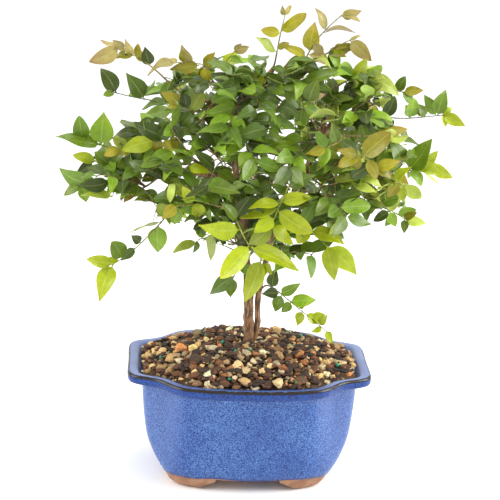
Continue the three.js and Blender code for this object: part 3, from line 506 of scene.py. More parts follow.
def makeTintedMaterial(name, roughness, speckle, depth, dark):
    material, tree, shader = newMaterial(name, roughness)
    tint = attributeColour(tree, "tint")
    grain = patches(tree, speckle, 0.35, 0.68, 4.0)
    broad = patches(tree, speckle * 0.22, 0.3, 0.7, 2.0)
    shaded = mixColours(tree, calculate(tree, "MULTIPLY", grain, dark), tint, colour(52, 38, 28))
    lighter = mixColours(tree, 0.5, shaded, colour(232, 208, 166), "SOFT_LIGHT")
    tree.links.new(mixColours(tree, broad, shaded, lighter), shader.inputs["Base Color"])
    addBump(tree, shader, grain, 0.5, depth)
    return material


def makeSoilFinish():
    material, tree, shader = newMaterial("dampSoil", 0.9)
    grain = patches(tree, 700, 0.35, 0.65, 4.0)
    lumps = patches(tree, 160, 0.35, 0.6, 3.0)
    dark = mixColours(tree, grain, colour(30, 21, 16), colour(66, 46, 32))
    tree.links.new(mixColours(tree, lumps, dark, colour(86, 62, 42)), shader.inputs["Base Color"])
    addBump(tree, shader, grain, 0.8, 0.0008)
    return material


def makeSoil():
    bm = bmesh.new()
    rings = []
    for step in range(ground["rings"] + 1):
        reach = 1 - ground["innermost"] * step / ground["rings"]
        insetX = pot["halfLength"] - ground["halfLength"] * reach
        insetY = pot["halfDepth"] - ground["halfDepth"] * reach
        points = potRing(0, insetX, insetY)
        for point in points:
            bump = noise.noise(point * ground["bumpScale"]) * ground["bumpHeight"]
            point.z = soilHeight(min(reach, 1)) - ground["sink"] + bump
        rings.append(addRing(bm, points, capped=step == ground["rings"]))
    inset, drop = ground["skirtInset"], ground["skirtDepth"]
    skirt = [Vector((vert.co.x * inset, vert.co.y * inset, vert.co.z - drop)) for vert in rings[0]]
    rings.insert(0, addRing(bm, skirt, capped=True))
    for outer, inner in zip(rings, rings[1:]):
        bridgeRings(bm, outer, inner)
    smoothFaces(bm)
    bmesh.ops.recalc_face_normals(bm, faces=bm.faces)
    return finishPiece("soilBed", bm, [makeSoilFinish()], ["soil"])


# A spot on the soil drawn by chance, clear of the trunk
def groundPlace(rng, reachLimit):
    while True:
        x = rng.uniform(-ground["halfLength"], ground["halfLength"])
        y = rng.uniform(-ground["halfDepth"], ground["halfDepth"])
        fromTrunk = math.hypot(x - trunkFoot.x, y - trunkFoot.y)
        if soilReach(x, y) < reachLimit and fromTrunk > ground["trunkClearance"]:
            return x, y, soilHeight(soilReach(x, y))


# A rounded, dented lump, flattened and turned by chance
def addStone(bm, layer, rng, centre, size, flatness, tint, level):
    made = bmesh.ops.create_icosphere(bm, subdivisions=level, radius=1)
    turn = Matrix.Rotation(rng.uniform(0, math.tau), 3, "Z")
    turn = turn @ Matrix.Rotation(rng.uniform(-0.6, 0.6), 3, "X")
    offset = Vector((rng.random(), rng.random(), rng.random())) * 40
    shape = Vector((1, rng.uniform(0.62, 0.95), flatness))
    for vert in made["verts"]:
        lump = 1 + 0.6 * noise.noise(vert.co * 0.9 + offset) + 0.34 * noise.noise(vert.co * 1.9 + offset)
        vert.co = centre + turn @ (vert.co * lump * shape) * size
        vert[layer] = tint


# Gravel in three sizes, each a count and the limits of the size; all but the smallest keep apart
gravel = {
    "sizes": [(84, 4.0, 6.0), (300, 2.4, 4.0), (520, 1.1, 2.1)],
    "largeFrom": 2,
    "tries": 12,
    "spacing": 0.74,
    "reach": 1.01,
    "reachLoss": 0.011,
    "lift": (0.1, 0.4),
    "sink": 0.8,
    "flatness": (0.5, 0.8),
    "strength": (0.7, 1.12),
    "tints": [(238, 202, 146), (226, 186, 128), (252, 234, 190), (206, 182, 136), (160, 138, 100),
              (238, 160, 98), (126, 98, 70), (226, 208, 172), (92, 68, 48), (252, 206, 140)],
}


def stonePlace(rng, size, large):
    for _ in range(gravel["tries"]):
        x, y, z = groundPlace(rng, gravel["reach"] - size * gravel["reachLoss"])
        if all(math.hypot(x - nearX, y - nearY) > (size + other) * gravel["spacing"]
               for nearX, nearY, other in large):
            return x, y, z
    return None


def makeStones():
    rng = random.Random(7)
    bm, layer = newTintedMesh()
    large = []
    for count, low, high in gravel["sizes"]:
        isLarge = low > gravel["largeFrom"]
        for _ in range(count):
            size = rng.uniform(low, high)
            place = stonePlace(rng, size, large)
            if not place:
                continue
            if isLarge:
                large.append((*place[:2], size))
            tint = colour(*rng.choice(gravel["tints"]), rng.uniform(*gravel["strength"]))
            centre = Vector((*place[:2], place[2] + size * rng.uniform(*gravel["lift"]) - gravel["sink"]))
            flatness = rng.uniform(*gravel["flatness"])
            addStone(bm, layer, rng, centre, size, flatness, tint, 2 if isLarge else 1)
    finishPiece("gravelStones", bm, [makeTintedMaterial("gravelStone", 0.82, 900, 0.0005, 0.5)])


chips = {
    "count": 760,
    "sizes": (1.8, 5.0),
    "reach": 0.96,
    "lift": (0, 2.4),
    "flatness": (0.25, 0.5),
    "strength": (0.7, 1.2),
    "tints": [(84, 54, 36), (108, 68, 44), (62, 42, 30), (132, 82, 50), (50, 36, 28), (38, 29, 24)],
}


def makeChips():
    rng = random.Random(19)
    bm, layer = newTintedMesh()
    for _ in range(chips["count"]):
        x, y, z = groundPlace(rng, chips["reach"])
        size = rng.uniform(*chips["sizes"])
        tint = colour(*rng.choice(chips["tints"]), rng.uniform(*chips["strength"]))
        centre = Vector((x, y, z + rng.uniform(*chips["lift"])))
        addStone(bm, layer, rng, centre, size, rng.uniform(*chips["flatness"]), tint, 1)
    finishPiece("barkChips", bm, [makeTintedMaterial("chippedBark", 0.78, 1200, 0.0006, 0.6)])


prills = {
    "count": 22,
    "radius": 1.6,
    "spread": (0.85, 1.15),
    "reach": 0.95,
    "lift": (1.0, 2.6),
    "tint": (30, 150, 112),
    "strength": (0.75, 1.15),
}


def makePrills():
    rng = random.Random(5)
    bm, layer = newTintedMesh()
    for _ in range(prills["count"]):
        x, y, z = groundPlace(rng, prills["reach"])
        radius = prills["radius"] * rng.uniform(*prills["spread"])
        made = bmesh.ops.create_icosphere(bm, subdivisions=2, radius=radius)
        tint = colour(*prills["tint"], rng.uniform(*prills["strength"]))
        for vert in made["verts"]:
            vert.co += Vector((x, y, z + rng.uniform(*prills["lift"])))
            vert[layer] = tint
    smoothFaces(bm)
    finishPiece("feedPrills", bm, [makeTintedMaterial("prillCoat", 0.4, 600, 0.0002, 0.12)])


# The photograph's camera: a long lens standing left of the pot's middle, a little tilted
camera = {
    "place": Vector((-86.4, -1321.7, 597.1)),
    "yaw": math.radians(3.65),
    "pitch": math.radians(-17),
    "roll": math.radians(2.264),
    "lens": 117.78,
    "sensor": 36,
    "pixels": 500,
    "centring": (3, 2.8),
    "pixelSize": (0.845, 0.878),
    "level": 190,
}


def cameraAxes():
    yaw, pitch, roll = camera["yaw"], camera["pitch"], camera["roll"]
    forward = Vector((math.sin(yaw) * math.cos(pitch), math.cos(yaw) * math.cos(pitch), math.sin(pitch)))
    right = Vector((math.cos(yaw), -math.sin(yaw), 0))
    up = right.cross(forward)
    across = right * math.cos(roll) + up * math.sin(roll)
    return across, up * math.cos(roll) - right * math.sin(roll), forward


# How the tree stands in the pot: it leans to the left and slants with depth
stance = {
    "shift": Vector((-2.4, 0, 2.8)),
    "slant": 0.053,
    "tilt": 0.0253,
    "dip": 0.0222,
    "lean": 0.0374,
    "leanLevel": 190,
}


def planted(point):
    x, y, z = point
    lean = stance["slant"] * y - stance["lean"] * (z - stance["leanLevel"])
    return Vector((x + lean, y, z + stance["tilt"] * x - stance["dip"] * y)) + stance["shift"]


# Where a point shows in the picture, in millimetres across and up at the tree's middle
def seenFrom(point):
    across, upward, forward = cameraAxes()
    away = point - camera["place"]
    spread = camera["lens"] / camera["sensor"] * camera["pixels"] / away.dot(forward)
    (shiftX, shiftZ), (scaleX, scaleZ) = camera["centring"], camera["pixelSize"]
    seenX = (away.dot(across) * spread + shiftX) * scaleX
    return seenX, camera["level"] + (away.dot(upward) * spread + shiftZ) * scaleZ


# Trunk, second stem and main limbs, seen from the front
limbs = [
    {"radii": [5.6, 3.2], "points": [[-0.2, 2, 80], [-0.1, 2, 96], [-0.5, 2, 114], [-0.9, 1, 138],
        [-1, 0, 162]]},
    {"radii": [3.2, 1.8], "points": [[-1, 0, 161], [-4, -1, 190], [-5, 0, 220], [-9, 1, 245], [-13, 2, 268],
        [-14, 3, 290], [-10, 3, 312], [0, 2, 322], [10, 0, 332], [19, -4, 345]]},
    {"radii": [2.3, 1.7], "points": [[2.2, 2, 105], [6.4, 1, 122], [7.4, 1, 148], [14, 0, 180],
        [22, -4, 208], [34, -7, 236], [46, -8, 258], [56, -6, 280], [64, -4, 296], [75, -4, 304],
        [80, -4, 306]]},
    {"radii": [2.2, 1.4], "points": [[-9, 1, 245], [-28, -2, 254], [-50, -3, 257], [-74, 0, 255]]},
    {"radii": [2, 1.3], "points": [[-10, 3, 312], [-28, 4, 316], [-50, 4, 317]]},
    {"radii": [2, 1.5], "points": [[56, -6, 280], [61, -1, 300], [66, 4, 318]]},
    {"radii": [1.9, 1.4], "points": [[10, 0, 332], [24, 2, 338], [38, 3, 344]]},
    {"radii": [1.9, 1.3], "points": [[46, -8, 258], [64, -18, 262], [84, -26, 262], [102, -28, 260]]},
    {"radii": [1.9, 1.3], "points": [[34, -7, 236], [56, -16, 240], [80, -24, 239]]},
    {"radii": [1.9, 1.3], "points": [[-13, 2, 268], [-20, 30, 280], [-28, 55, 288]]},
    {"radii": [1.9, 1.3], "points": [[46, -8, 258], [52, 22, 268], [60, 50, 276]]},
    {"radii": [2.2, 1.4], "points": [[-5, 0, 220], [0, 25, 235], [8, 50, 246], [12, 75, 252]]},
]

# Leafy shoots seen in the photograph: leafless steps of the stem, the stem, and its leaves. Leaves:
# place along the leafy part, picture angle, length, width seen, tone.
seenShoots = [
    (2, [[-50, 4, 317], [-66, 4, 332], [-80, 4, 345], [-95, 4, 355], [-107, 4, 361]],
     [[1, 205, 27, 10, "bronze"], [0.96, 177, 17, 6, "bronze"], [0.5, 183, 15, 6, "gold"],
      [0.55, 150, 11, 4, "gold"], [0.5, 122, 15, 4, "bronze"], [0.2, 126, 13, 7, "gold"],
      [0.05, 122, 16, 9, "mature"], [0.8, 140, 13, 6, "bronze"], [0.75, 215, 12, 5, "gold"],
      [0.35, 95, 12, 6, "gold"]]),
    (2, [[-10, 3, 312], [-24, 0, 326], [-31, -6, 337], [-38, -8, 349], [-61, -8, 351]],
     [[1, 202, 26, 10, "bronze"], [0.55, 189, 24, 9, "gold"], [0.95, 150, 7, 4, "bronze"],
      [0.7, 128, 17, 4, "bronze"], [0.5, 262, 19, 7, "gold"], [0.45, 285, 19, 7, "gold"],
      [0.4, 60, 15, 7, "gold"], [0.85, 100, 12, 5, "gold"], [0.3, 90, 13, 7, "gold"],
      [0.65, 240, 13, 6, "gold"]]),
    (1, [[-50, 4, 317], [-60, 8, 315], [-86, 10, 317], [-113, 10, 323]],
     [[0.95, 124, 24, 12, "mature"], [0.52, 127, 26, 13, "mature"], [0.12, 182, 24, 7, "mature"],
      [0.2, 70, 18, 10, "mature"], [0.99, 190, 10, 5, "mid"]]),
    (2, [[-50, -3, 257], [-66, -10, 270], [-81, -14, 279], [-107, -14, 280], [-138, -14, 288]],
     [[0.75, 168, 38, 15, "mid"], [0.74, 85, 27, 17, "mid"], [1, 98, 21, 12, "mature"],
      [0.4, 140, 14, 9, "fresh"], [0.2, 235, 17, 9, "mature"], [0.5, 205, 14, 8, "gold"],
      [0.3, 190, 14, 7, "gold"], [0.45, 115, 13, 7, "fresh"]]),
    (1, [[-74, 0, 255], [-86, 0, 258], [-104, 0, 261], [-132, 0, 267]],
     [[0.92, 166, 20, 8, "lime"], [1, 200, 17, 8, "mature"], [0.74, 138, 16, 11, "mid"],
      [0.66, 65, 17, 12, "mid"], [0.4, 60, 18, 13, "mid"], [0.66, 252, 11, 8, "mid"],
      [0.15, 110, 18, 9, "mature"], [0.2, 260, 16, 8, "mid"]]),
    (2, [[-74, 0, 255], [-84, -6, 248], [-93, -10, 246], [-116, -10, 252], [-142, -10, 248]],
     [[1, 213, 16, 7, "mid"], [0.9, 276, 16, 9, "mid"], [0.5, 184, 25, 10, "mature"],
      [0.66, 170, 36, 6, "mature"], [0.15, 238, 15, 5, "mature"], [0.02, 212, 17, 9, "gold"],
      [0.3, 215, 14, 5, "mature"], [0.75, 235, 14, 6, "mid"], [0.45, 250, 12, 5, "fresh"]]),
    (2, [[-50, -3, 257], [-60, -18, 240], [-71, -30, 224], [-95, -30, 199], [-114, -30, 185]],
     [[0.02, 196, 28, 5, "fresh"], [0.08, 256, 26, 14, "mid"], [0.4, 140, 10, 7, "mature"],
      [0.76, 120, 17, 13, "mid"], [1, 171, 23, 10, "lime"], [0.97, 251, 33, 15, "lime"],
      [0.84, 172, 11, 6, "lime"], [0.5, 222, 16, 6, "mature"]]),
    (1, [[-4, -1, 190], [-14, -12, 200], [-28, -20, 212], [-45, -20, 202]],
     [[1, 198, 22, 8, "fresh"], [0.95, 256, 11, 4, "mature"], [0.6, 266, 28, 9, "fresh"],
      [0.85, 108, 12, 5, "mature"], [0.75, 135, 13, 9, "mid"], [0.3, 120, 17, 9, "mature"]]),
    (2, [[-28, -2, 254], [-36, -28, 268], [-45, -43, 275], [-55, -46, 268], [-61, -45, 259]],
     [[1, 258, 17, 5, "fresh"], [0.2, 350, 19, 9, "lime"], [0.9, 294, 17, 11, "lime"],
      [0.5, 165, 19, 9, "mature"], [0.1, 120, 20, 9, "mid"]]),
    (2, [[-28, -2, 254], [-30, -30, 250], [-34, -52, 247], [-46, -62, 245], [-59, -62, 244]],
     [[1, 219, 16, 9, "gold"], [0.95, 261, 17, 9, "mid"], [0.5, 315, 14, 10, "lime"],
      [0.3, 20, 20, 9, "mature"], [0.5, 120, 16, 9, "lime"], [0.1, 250, 22, 10, "mature"]]),
    (2, [[34, -7, 236], [37, -35, 258], [35, -64, 268], [24, -74, 248], [17, -73, 229]],
     [[0.5, 185, 26, 9, "lime"], [0.48, 14, 25, 11, "lime"], [0.58, 200, 33, 11, "lime"],
      [0.63, 331, 33, 14, "lime"], [0.98, 219, 23, 12, "fresh"], [1, 322, 24, 12, "lime"],
      [0.8, 199, 20, 11, "lime"], [0.15, 150, 24, 10, "mid"], [0.2, 30, 24, 10, "mid"]]),
    (2, [[-5, 0, 220], [-11, -32, 240], [-13, -70, 242], [-2, -83, 219], [13, -82, 201]],
     [[0.3, 178, 34, 11, "lime"], [0.6, 336, 45, 17, "lime"], [0.57, 230, 36, 15, "lime"],
      [0.88, 251, 38, 15, "lime"], [1, 262, 13, 6, "lime"], [0.99, 300, 12, 6, "lime"],
      [0.1, 40, 22, 9, "mature"], [0.15, 130, 20, 9, "mid"]]),
    (2, [[22, -4, 208], [30, -30, 224], [40, -56, 230], [51, -61, 221], [63, -60, 209]],
     [[0.42, 342, 29, 12, "lime"], [0.97, 285, 29, 12, "lime"], [1, 316, 38, 15, "lime"],
      [0.38, 227, 15, 10, "lime"], [0.15, 60, 22, 10, "mature"], [0.2, 20, 24, 10, "mature"]]),
    (1, [[7.4, 1, 152], [17, -9, 160], [39, -12, 143], [68, -12, 118]],
     [[0.2, 166, 15, 8, "mature"], [0.22, 35, 19, 8, "mid"], [0.25, 253, 19, 9, "mid"],
      [0.4, 4, 23, 10, "mid"], [0.42, 225, 12, 7, "mid"], [0.55, 50, 10, 6, "lime"],
      [0.6, 254, 14, 8, "lime"], [0.66, 318, 18, 8, "lime"], [0.86, 60, 12, 6, "lime"],
      [0.05, 80, 17, 9, "mature"], [0.95, 300, 13, 6, "lime"], [0.9, 200, 10, 5, "lime"],
      [0.75, 20, 12, 7, "lime"]]),
    (1, [[-4, -1, 190], [-5, -9, 186], [-9, -14, 179], [-14, -16, 169]],
     [[0.9, 222, 28, 12, "mature"], [0.3, 197, 16, 9, "mature"], [1, 265, 20, 9, "mid"],
      [0.5, 330, 15, 7, "mature"]]),
    (1, [[56, -16, 240], [68, -29, 244], [84, -33, 244], [95, -32, 237]],
     [[1, 280, 15, 7, "mature"], [0.95, 350, 17, 8, "mid"], [0.5, 250, 18, 9, "mature"],
      [0.55, 70, 18, 9, "mid"], [0.15, 110, 20, 9, "mature"], [0.2, 290, 19, 9, "mature"]]),
    (1, [[80, -24, 239], [92, -30, 245], [106, -34, 241], [116, -34, 231]],
     [[0.6, 25, 15, 12, "mature"], [1, 293, 14, 8, "mid"], [0.95, 215, 16, 7, "mature"],
      [0.4, 250, 17, 8, "mid"], [0.15, 95, 17, 9, "mature"]]),
    (2, [[80, -24, 239], [98, -14, 233], [111, -9, 229], [122, -8, 224], [131, -8, 218]],
     [[1, 345, 20, 5, "fresh"], [0.6, 11, 17, 7, "mid"], [0.9, 30, 13, 7, "gold"],
      [0.5, 240, 15, 7, "mid"], [0.98, 268, 12, 6, "mid"]]),
    (2, [[84, -26, 262], [98, -38, 265], [108, -43, 264], [117, -44, 261], [126, -44, 255]],
     [[1, 330, 17, 10, "fresh"], [0.7, 238, 15, 9, "gold"], [0.5, 40, 18, 8, "lime"],
      [0.95, 270, 13, 6, "lime"], [0.1, 110, 18, 9, "mid"]]),
    (2, [[102, -28, 260], [112, -18, 261], [123, -13, 262], [139, -12, 262], [152, -12, 268]],
     [[1, 325, 23, 8, "lime"], [0.75, 50, 17, 8, "lime"], [0.5, 30, 18, 7, "lime"],
      [0.62, 343, 18, 8, "fresh"], [0.6, 334, 26, 4, "fresh"], [0.3, 315, 17, 8, "mid"],
      [0.28, 62, 32, 18, "mid"]]),
    (2, [[84, -26, 262], [96, -48, 268], [102, -60, 274], [95, -66, 282], [85, -66, 287]],
     [[0.85, 207, 20, 9, "gold"], [0.95, 245, 15, 8, "gold"], [0.6, 300, 18, 9, "gold"],
      [0.1, 18, 20, 9, "gold"], [0.12, 330, 16, 8, "gold"], [0.8, 47, 31, 15, "gold"],
      [1, 165, 18, 8, "gold"], [0.3, 215, 22, 10, "mature"]]),
    (1, [[102, -28, 260], [111, -30, 262], [119, -31, 266], [127, -30, 272]],
     [[0.85, 118, 24, 15, "mid"], [0.45, 318, 18, 7, "gold"], [1, 60, 14, 7, "mid"],
      [0.3, 170, 18, 9, "mature"]]),
    (2, [[64, -18, 262], [75, -29, 275], [83, -34, 283], [93, -36, 288], [102, -36, 293]],
     [[1, 24, 28, 10, "gold"], [0.97, 350, 24, 9, "lime"], [0.05, 170, 13, 9, "gold"],
      [0.5, 100, 17, 9, "mid"], [0.4, 290, 17, 8, "mature"]]),
    (1, [[75, -4, 304], [88, -4, 308], [125, -4, 304], [162, -4, 307]],
     [[0.34, 70, 19, 10, "mature"], [0.22, 325, 20, 12, "mature"], [0.6, 84, 18, 12, "mid"],
      [0.9, 123, 20, 7, "mid"], [0.92, 78, 22, 11, "mid"], [1, 338, 21, 9, "lime"],
      [0.99, 40, 11, 6, "lime"], [0.97, 292, 10, 5, "lime"], [0.26, 128, 17, 9, "gold"],
      [0.4, 262, 14, 7, "mature"], [0.05, 75, 20, 9, "mature"], [0.78, 140, 14, 8, "mid"],
      [0.62, 112, 12, 5, "lime"], [0.74, 118, 13, 6, "gold"]]),
    (1, [[66, 4, 318], [80, 7, 323], [106, 8, 325], [129, 8, 324]],
     [[1, 5, 18, 7, "gold"], [0.95, 320, 16, 8, "mature"], [0.6, 120, 20, 10, "mature"],
      [0.62, 300, 18, 9, "mature"], [0.25, 60, 22, 10, "mid"], [0.25, 250, 20, 9, "mature"],
      [0.85, 65, 15, 8, "mature"]]),
    (2, [[66, 4, 318], [67, -7, 328], [74, -13, 334], [85, -14, 339], [98, -14, 341]],
     [[1, 40, 14, 8, "mid"], [0.99, 333, 29, 13, "fresh"], [0.85, 355, 15, 6, "fresh"],
      [0.5, 64, 20, 10, "lime"], [0.48, 155, 21, 9, "mature"], [0.2, 290, 20, 9, "mature"],
      [0.6, 280, 17, 8, "mid"]]),
    (2, [[38, 3, 344], [52, 6, 350], [62, 8, 355], [72, 7, 362], [83, 6, 368]],
     [[1, 317, 26, 9, "bronze"], [0.5, 0, 16, 5, "gold"], [0.05, 187, 20, 9, "gold"],
      [0.3, 275, 16, 8, "mature"], [0.97, 30, 10, 4, "bronze"], [0.2, 300, 16, 8, "mid"],
      [0.1, 10, 18, 8, "bronze"], [0.25, 340, 14, 5, "lime"], [0.35, 20, 14, 6, "gold"]]),
    (1, [[38, 3, 344], [46, -2, 354], [53, -3, 367], [64, -1, 379], [75, 0, 389]],
     [[0.02, 150, 22, 8, "gold"], [0.12, 66, 26, 13, "gold"], [0.28, 318, 11, 7, "bronze"],
      [0.6, 112, 20, 7, "bronze"], [0.55, 8, 26, 5, "bronze"], [1, 14, 18, 6, "bronze"],
      [0.98, 344, 17, 5, "bronze"], [0.02, 215, 24, 9, "gold"], [0.05, 242, 24, 11, "bronze"],
      [0.08, 330, 16, 6, "bronze"]]),
    (2, [[10, 0, 332], [19, -4, 346], [22, -4, 358], [25, -4, 374], [29, -4, 391]],
     [[0.03, 144, 22, 7, "fresh"], [0.1, 30, 12, 5, "gold"], [0.52, 168, 16, 8, "gold"],
      [0.54, 34, 25, 5, "gold"], [0.93, 108, 9, 3, "bronze"], [0.95, 58, 9, 3, "bronze"]]),
    (1, [[0, 2, 322], [5, -12, 327], [11, -19, 334], [14, -20, 342]],
     [[1, 142, 20, 8, "mature"], [0.95, 333, 36, 8, "fresh"], [0.1, 326, 25, 12, "mid"],
      [0.5, 200, 17, 9, "mid"], [0.3, 100, 15, 8, "lime"]]),
    (1, [[-10, 3, 312], [-14, 6, 327], [-21, 6, 345], [-12, 4, 359]],
     [[0.95, 18, 14, 5, "bronze"], [0.8, 340, 12, 5, "mid"], [0.5, 50, 17, 11, "lime"],
      [0.35, 8, 19, 7, "mid"], [0.15, 160, 18, 9, "mature"], [1, 50, 9, 4, "bronze"]]),
    (2, [[-28, 4, 316], [-42, -14, 302], [-54, -27, 297], [-66, -30, 293], [-77, -30, 290]],
     [[1, 199, 29, 10, "lime"], [0.8, 250, 13, 8, "gold"], [0.6, 290, 13, 8, "gold"],
      [0.35, 300, 15, 10, "gold"], [0.55, 172, 29, 12, "mature"], [0.92, 125, 19, 9, "mature"],
      [0.84, 80, 19, 9, "mature"]]),
    (1, [[-28, 4, 316], [-38, -10, 312], [-48, -20, 313], [-56, -22, 320]],
     [[1, 149, 18, 8, "gold"], [0.98, 195, 13, 6, "gold"], [0.5, 62, 21, 12, "fresh"],
      [0.4, 230, 17, 9, "mature"], [0.7, 100, 16, 8, "mature"]]),
    (2, [[64, -4, 296], [72, -28, 300], [76, -48, 298], [70, -58, 295], [61, -59, 291]],
     [[1, 197, 18, 9, "gold"], [0.9, 250, 18, 9, "mid"], [0.5, 110, 18, 9, "mid"],
      [0.4, 330, 18, 9, "mature"], [0.95, 130, 16, 8, "mature"]]),
    (2, [[10, 0, 332], [24, -20, 323], [34, -33, 318], [42, -40, 319], [48, -41, 325]],
     [[1, 28, 15, 6, "bronze"], [0.95, 74, 20, 12, "mid"], [0.5, 270, 18, 9, "mid"],
      [0.4, 140, 18, 9, "mature"], [0.6, 340, 19, 9, "mature"]]),
]

# Shoots that it hides: leafless steps of the stem, opposite pairs of leaves, the stem
hiddenShoots = [
    (2, 3, [[-13, 2, 268], [-20, -18, 272], [-26, -38, 272], [-30, -54, 268], [-33, -66, 261]]),
    (1, 4, [[-14, 3, 290], [-10, -18, 293], [-5, -38, 293], [0, -52, 288], [5, -64, 281]]),
    (2, 3, [[56, -6, 280], [52, -24, 285], [46, -40, 287], [38, -54, 284], [31, -66, 277]]),
    (2, 3, [[46, -8, 258], [56, -28, 255], [63, -44, 250], [71, -56, 243], [78, -64, 235]]),
    (1, 3, [[0, 2, 322], [-7, -14, 320], [-13, -30, 314], [-17, -44, 305]]),
    (1, 3, [[75, -4, 304], [82, -17, 311], [90, -29, 313], [100, -37, 311]]),
    (1, 3, [[24, 2, 338], [30, -9, 338], [36, -20, 335], [44, -28, 338]]),
    (1, 3, [[14, 0, 180], [26, -16, 190], [38, -30, 196], [52, -38, 196]]),
    (1, 3, [[-28, 55, 288], [-40, 66, 293], [-54, 76, 296], [-68, 84, 296]]),
    (1, 3, [[-28, 55, 288], [-25, 70, 294], [-19, 84, 298], [-14, 98, 298]]),
    (2, 3, [[-20, 30, 280], [-40, 35, 282], [-58, 40, 284], [-77, 45, 285], [-95, 47, 282]]),
    (1, 3, [[60, 50, 276], [72, 61, 280], [85, 71, 283], [97, 80, 283]]),
    (1, 3, [[60, 50, 276], [56, 66, 285], [50, 81, 291], [45, 95, 293]]),
    (2, 3, [[52, 22, 268], [74, 27, 273], [94, 31, 277], [113, 35, 280], [131, 37, 280]]),
    (1, 3, [[12, 75, 252], [12, 89, 256], [15, 102, 259], [18, 114, 259]]),
    (1, 3, [[8, 50, 246], [-10, 58, 246], [-30, 66, 241], [-49, 71, 234]]),
    (1, 3, [[8, 50, 246], [25, 58, 242], [44, 63, 236], [62, 66, 230]]),
    (2, 3, [[10, 0, 332], [8, 20, 337], [4, 36, 342], [-1, 52, 344], [-6, 67, 342]]),
    (2, 3, [[38, 3, 344], [44, 22, 342], [49, 38, 341], [55, 54, 336], [61, 68, 329]]),
    (1, 3, [[-50, 4, 317], [-59, 19, 319], [-70, 33, 321], [-84, 45, 320]]),
    (1, 3, [[14, 0, 180], [17, 14, 187], [16, 29, 192], [12, 43, 194]]),
    (1, 3, [[34, -7, 236], [43, 7, 236], [51, 20, 232], [57, 32, 225]]),
]


def plantedShoot(leafy, stem, bears, what):
    return {"curve": [planted(point) for point in stem], "start": leafy / (len(stem) - 1), bears: what}


shoots = [plantedShoot(leafy, stem, "leaves", leaves) for leafy, stem, leaves in seenShoots]
shoots += [plantedShoot(leafy, stem, "pairs", pairs) for leafy, pairs, stem in hiddenShoots]

trunkFoot = planted(limbs[0]["points"][0])
makeSoil()
makeStones()
makeChips()
makePrills()
print("soil and gravel made")


# Stems: tapered tubes with slightly uneven sides. Cuts are the sides and the steps of a tube.
stems = {
    "mainLimbs": 3,
    "trunkCuts": (20, 20),
    "mainCuts": (16, 44),
    "limbCuts": (9, 16),
    "mainSwell": 1.1,
    "mainRoughness": 0.5,
    "limbRoughness": 0.3,
    "twigCuts": (7, 8),
    "twigRadii": (1.0, 0.62),
    "twigRoughness": 0.25,
    "shootCuts": (6, 9),
    "shootRadii": (0.62, 0.36),
    "innerCuts": (5, 5),
    "innerRadii": (0.7, 0.32),
    "greenRoughness": 0.1,
    "unevenness": 0.28,
    "firstSide": (0.83, 0.55, 0.1),
}


def addStem(bm, layer, points, radii, cuts, roughness, startTint, endTint):
    sides, steps = cuts
    side = Vector(stems["firstSide"])
    previous = None
    for step in range(steps + 1):
        place = step / steps
        along = curveTangent(points, place)
        side = (side - along * side.dot(along)).normalized()
        other = side.cross(along)
        centre = curvePoint(points, place)
        radius = mixed(*radii, place)
        ring = []
        for corner in range(sides):
            angle = math.tau * corner / sides
            out = side * math.cos(angle) + other * math.sin(angle)
            bump = 1 + roughness * noise.noise((centre + out * radius) * stems["unevenness"])
            ring.append(centre + out * radius * bump)
        verts = addRing(bm, ring, capped=step in (0, steps))
        tint = [mixed(a, b, place) for a, b in zip(startTint, endTint)]
        for vert in verts:
            vert[layer] = tint
        if previous:
            bridgeRings(bm, previous, verts)
        previous = verts


# Seven points of a shoot's stem between two places along it
def shootPart(shoot, start, end):
    return [curvePoint(shoot["curve"], start + (end - start) * step / 6) for step in range(7)]


def makeBark():
    material, tree, shader = newMaterial("thinBark", 0.8)
    tint = attributeColour(tree, "tint")
    streaks = patches(tree, 620, 0.5, 0.72, 4.0, 0.3, (1, 1, 0.16))
    plates = patches(tree, 240, 0.42, 0.6, 4.0, 0.5, (1, 1, 0.35))
    dark = mixColours(tree, calculate(tree, "MULTIPLY", plates, 0.72), tint, colour(46, 31, 24))
    light = mixColours(tree, calculate(tree, "MULTIPLY", streaks, 0.85), dark, colour(204, 174, 130))
    tree.links.new(light, shader.inputs["Base Color"])
    addBump(tree, shader, calculate(tree, "ADD", plates, streaks), 0.7, 0.0006)
    return material


barkTint = colour(142, 102, 70)
twigTint = colour(138, 104, 66)
budTint = colour(126, 118, 62)
greenTint = colour(128, 140, 60)
bark = makeBark()


def makeWood():
    bm, layer = newTintedMesh()
    for index, limb in enumerate(limbs):
        points = [planted(point) for point in limb["points"]]
        if index < stems["mainLimbs"]:
            cuts = stems["mainCuts"] if index else stems["trunkCuts"]
            radii = [radius * stems["mainSwell"] for radius in limb["radii"]]
            addStem(bm, layer, points, radii, cuts, stems["mainRoughness"], barkTint, barkTint)
        else:
            addStem(bm, layer, points, limb["radii"], stems["limbCuts"], stems["limbRoughness"], barkTint,
                    twigTint)
    for shoot in shoots:
        points = shootPart(shoot, 0, shoot["start"])
        addStem(bm, layer, points, stems["twigRadii"], stems["twigCuts"], stems["twigRoughness"], twigTint,
                budTint)
    smoothFaces(bm)
    return finishPiece("trunkAndLimbs", bm, [bark], ["wood"])


makeWood()
print("wood made")

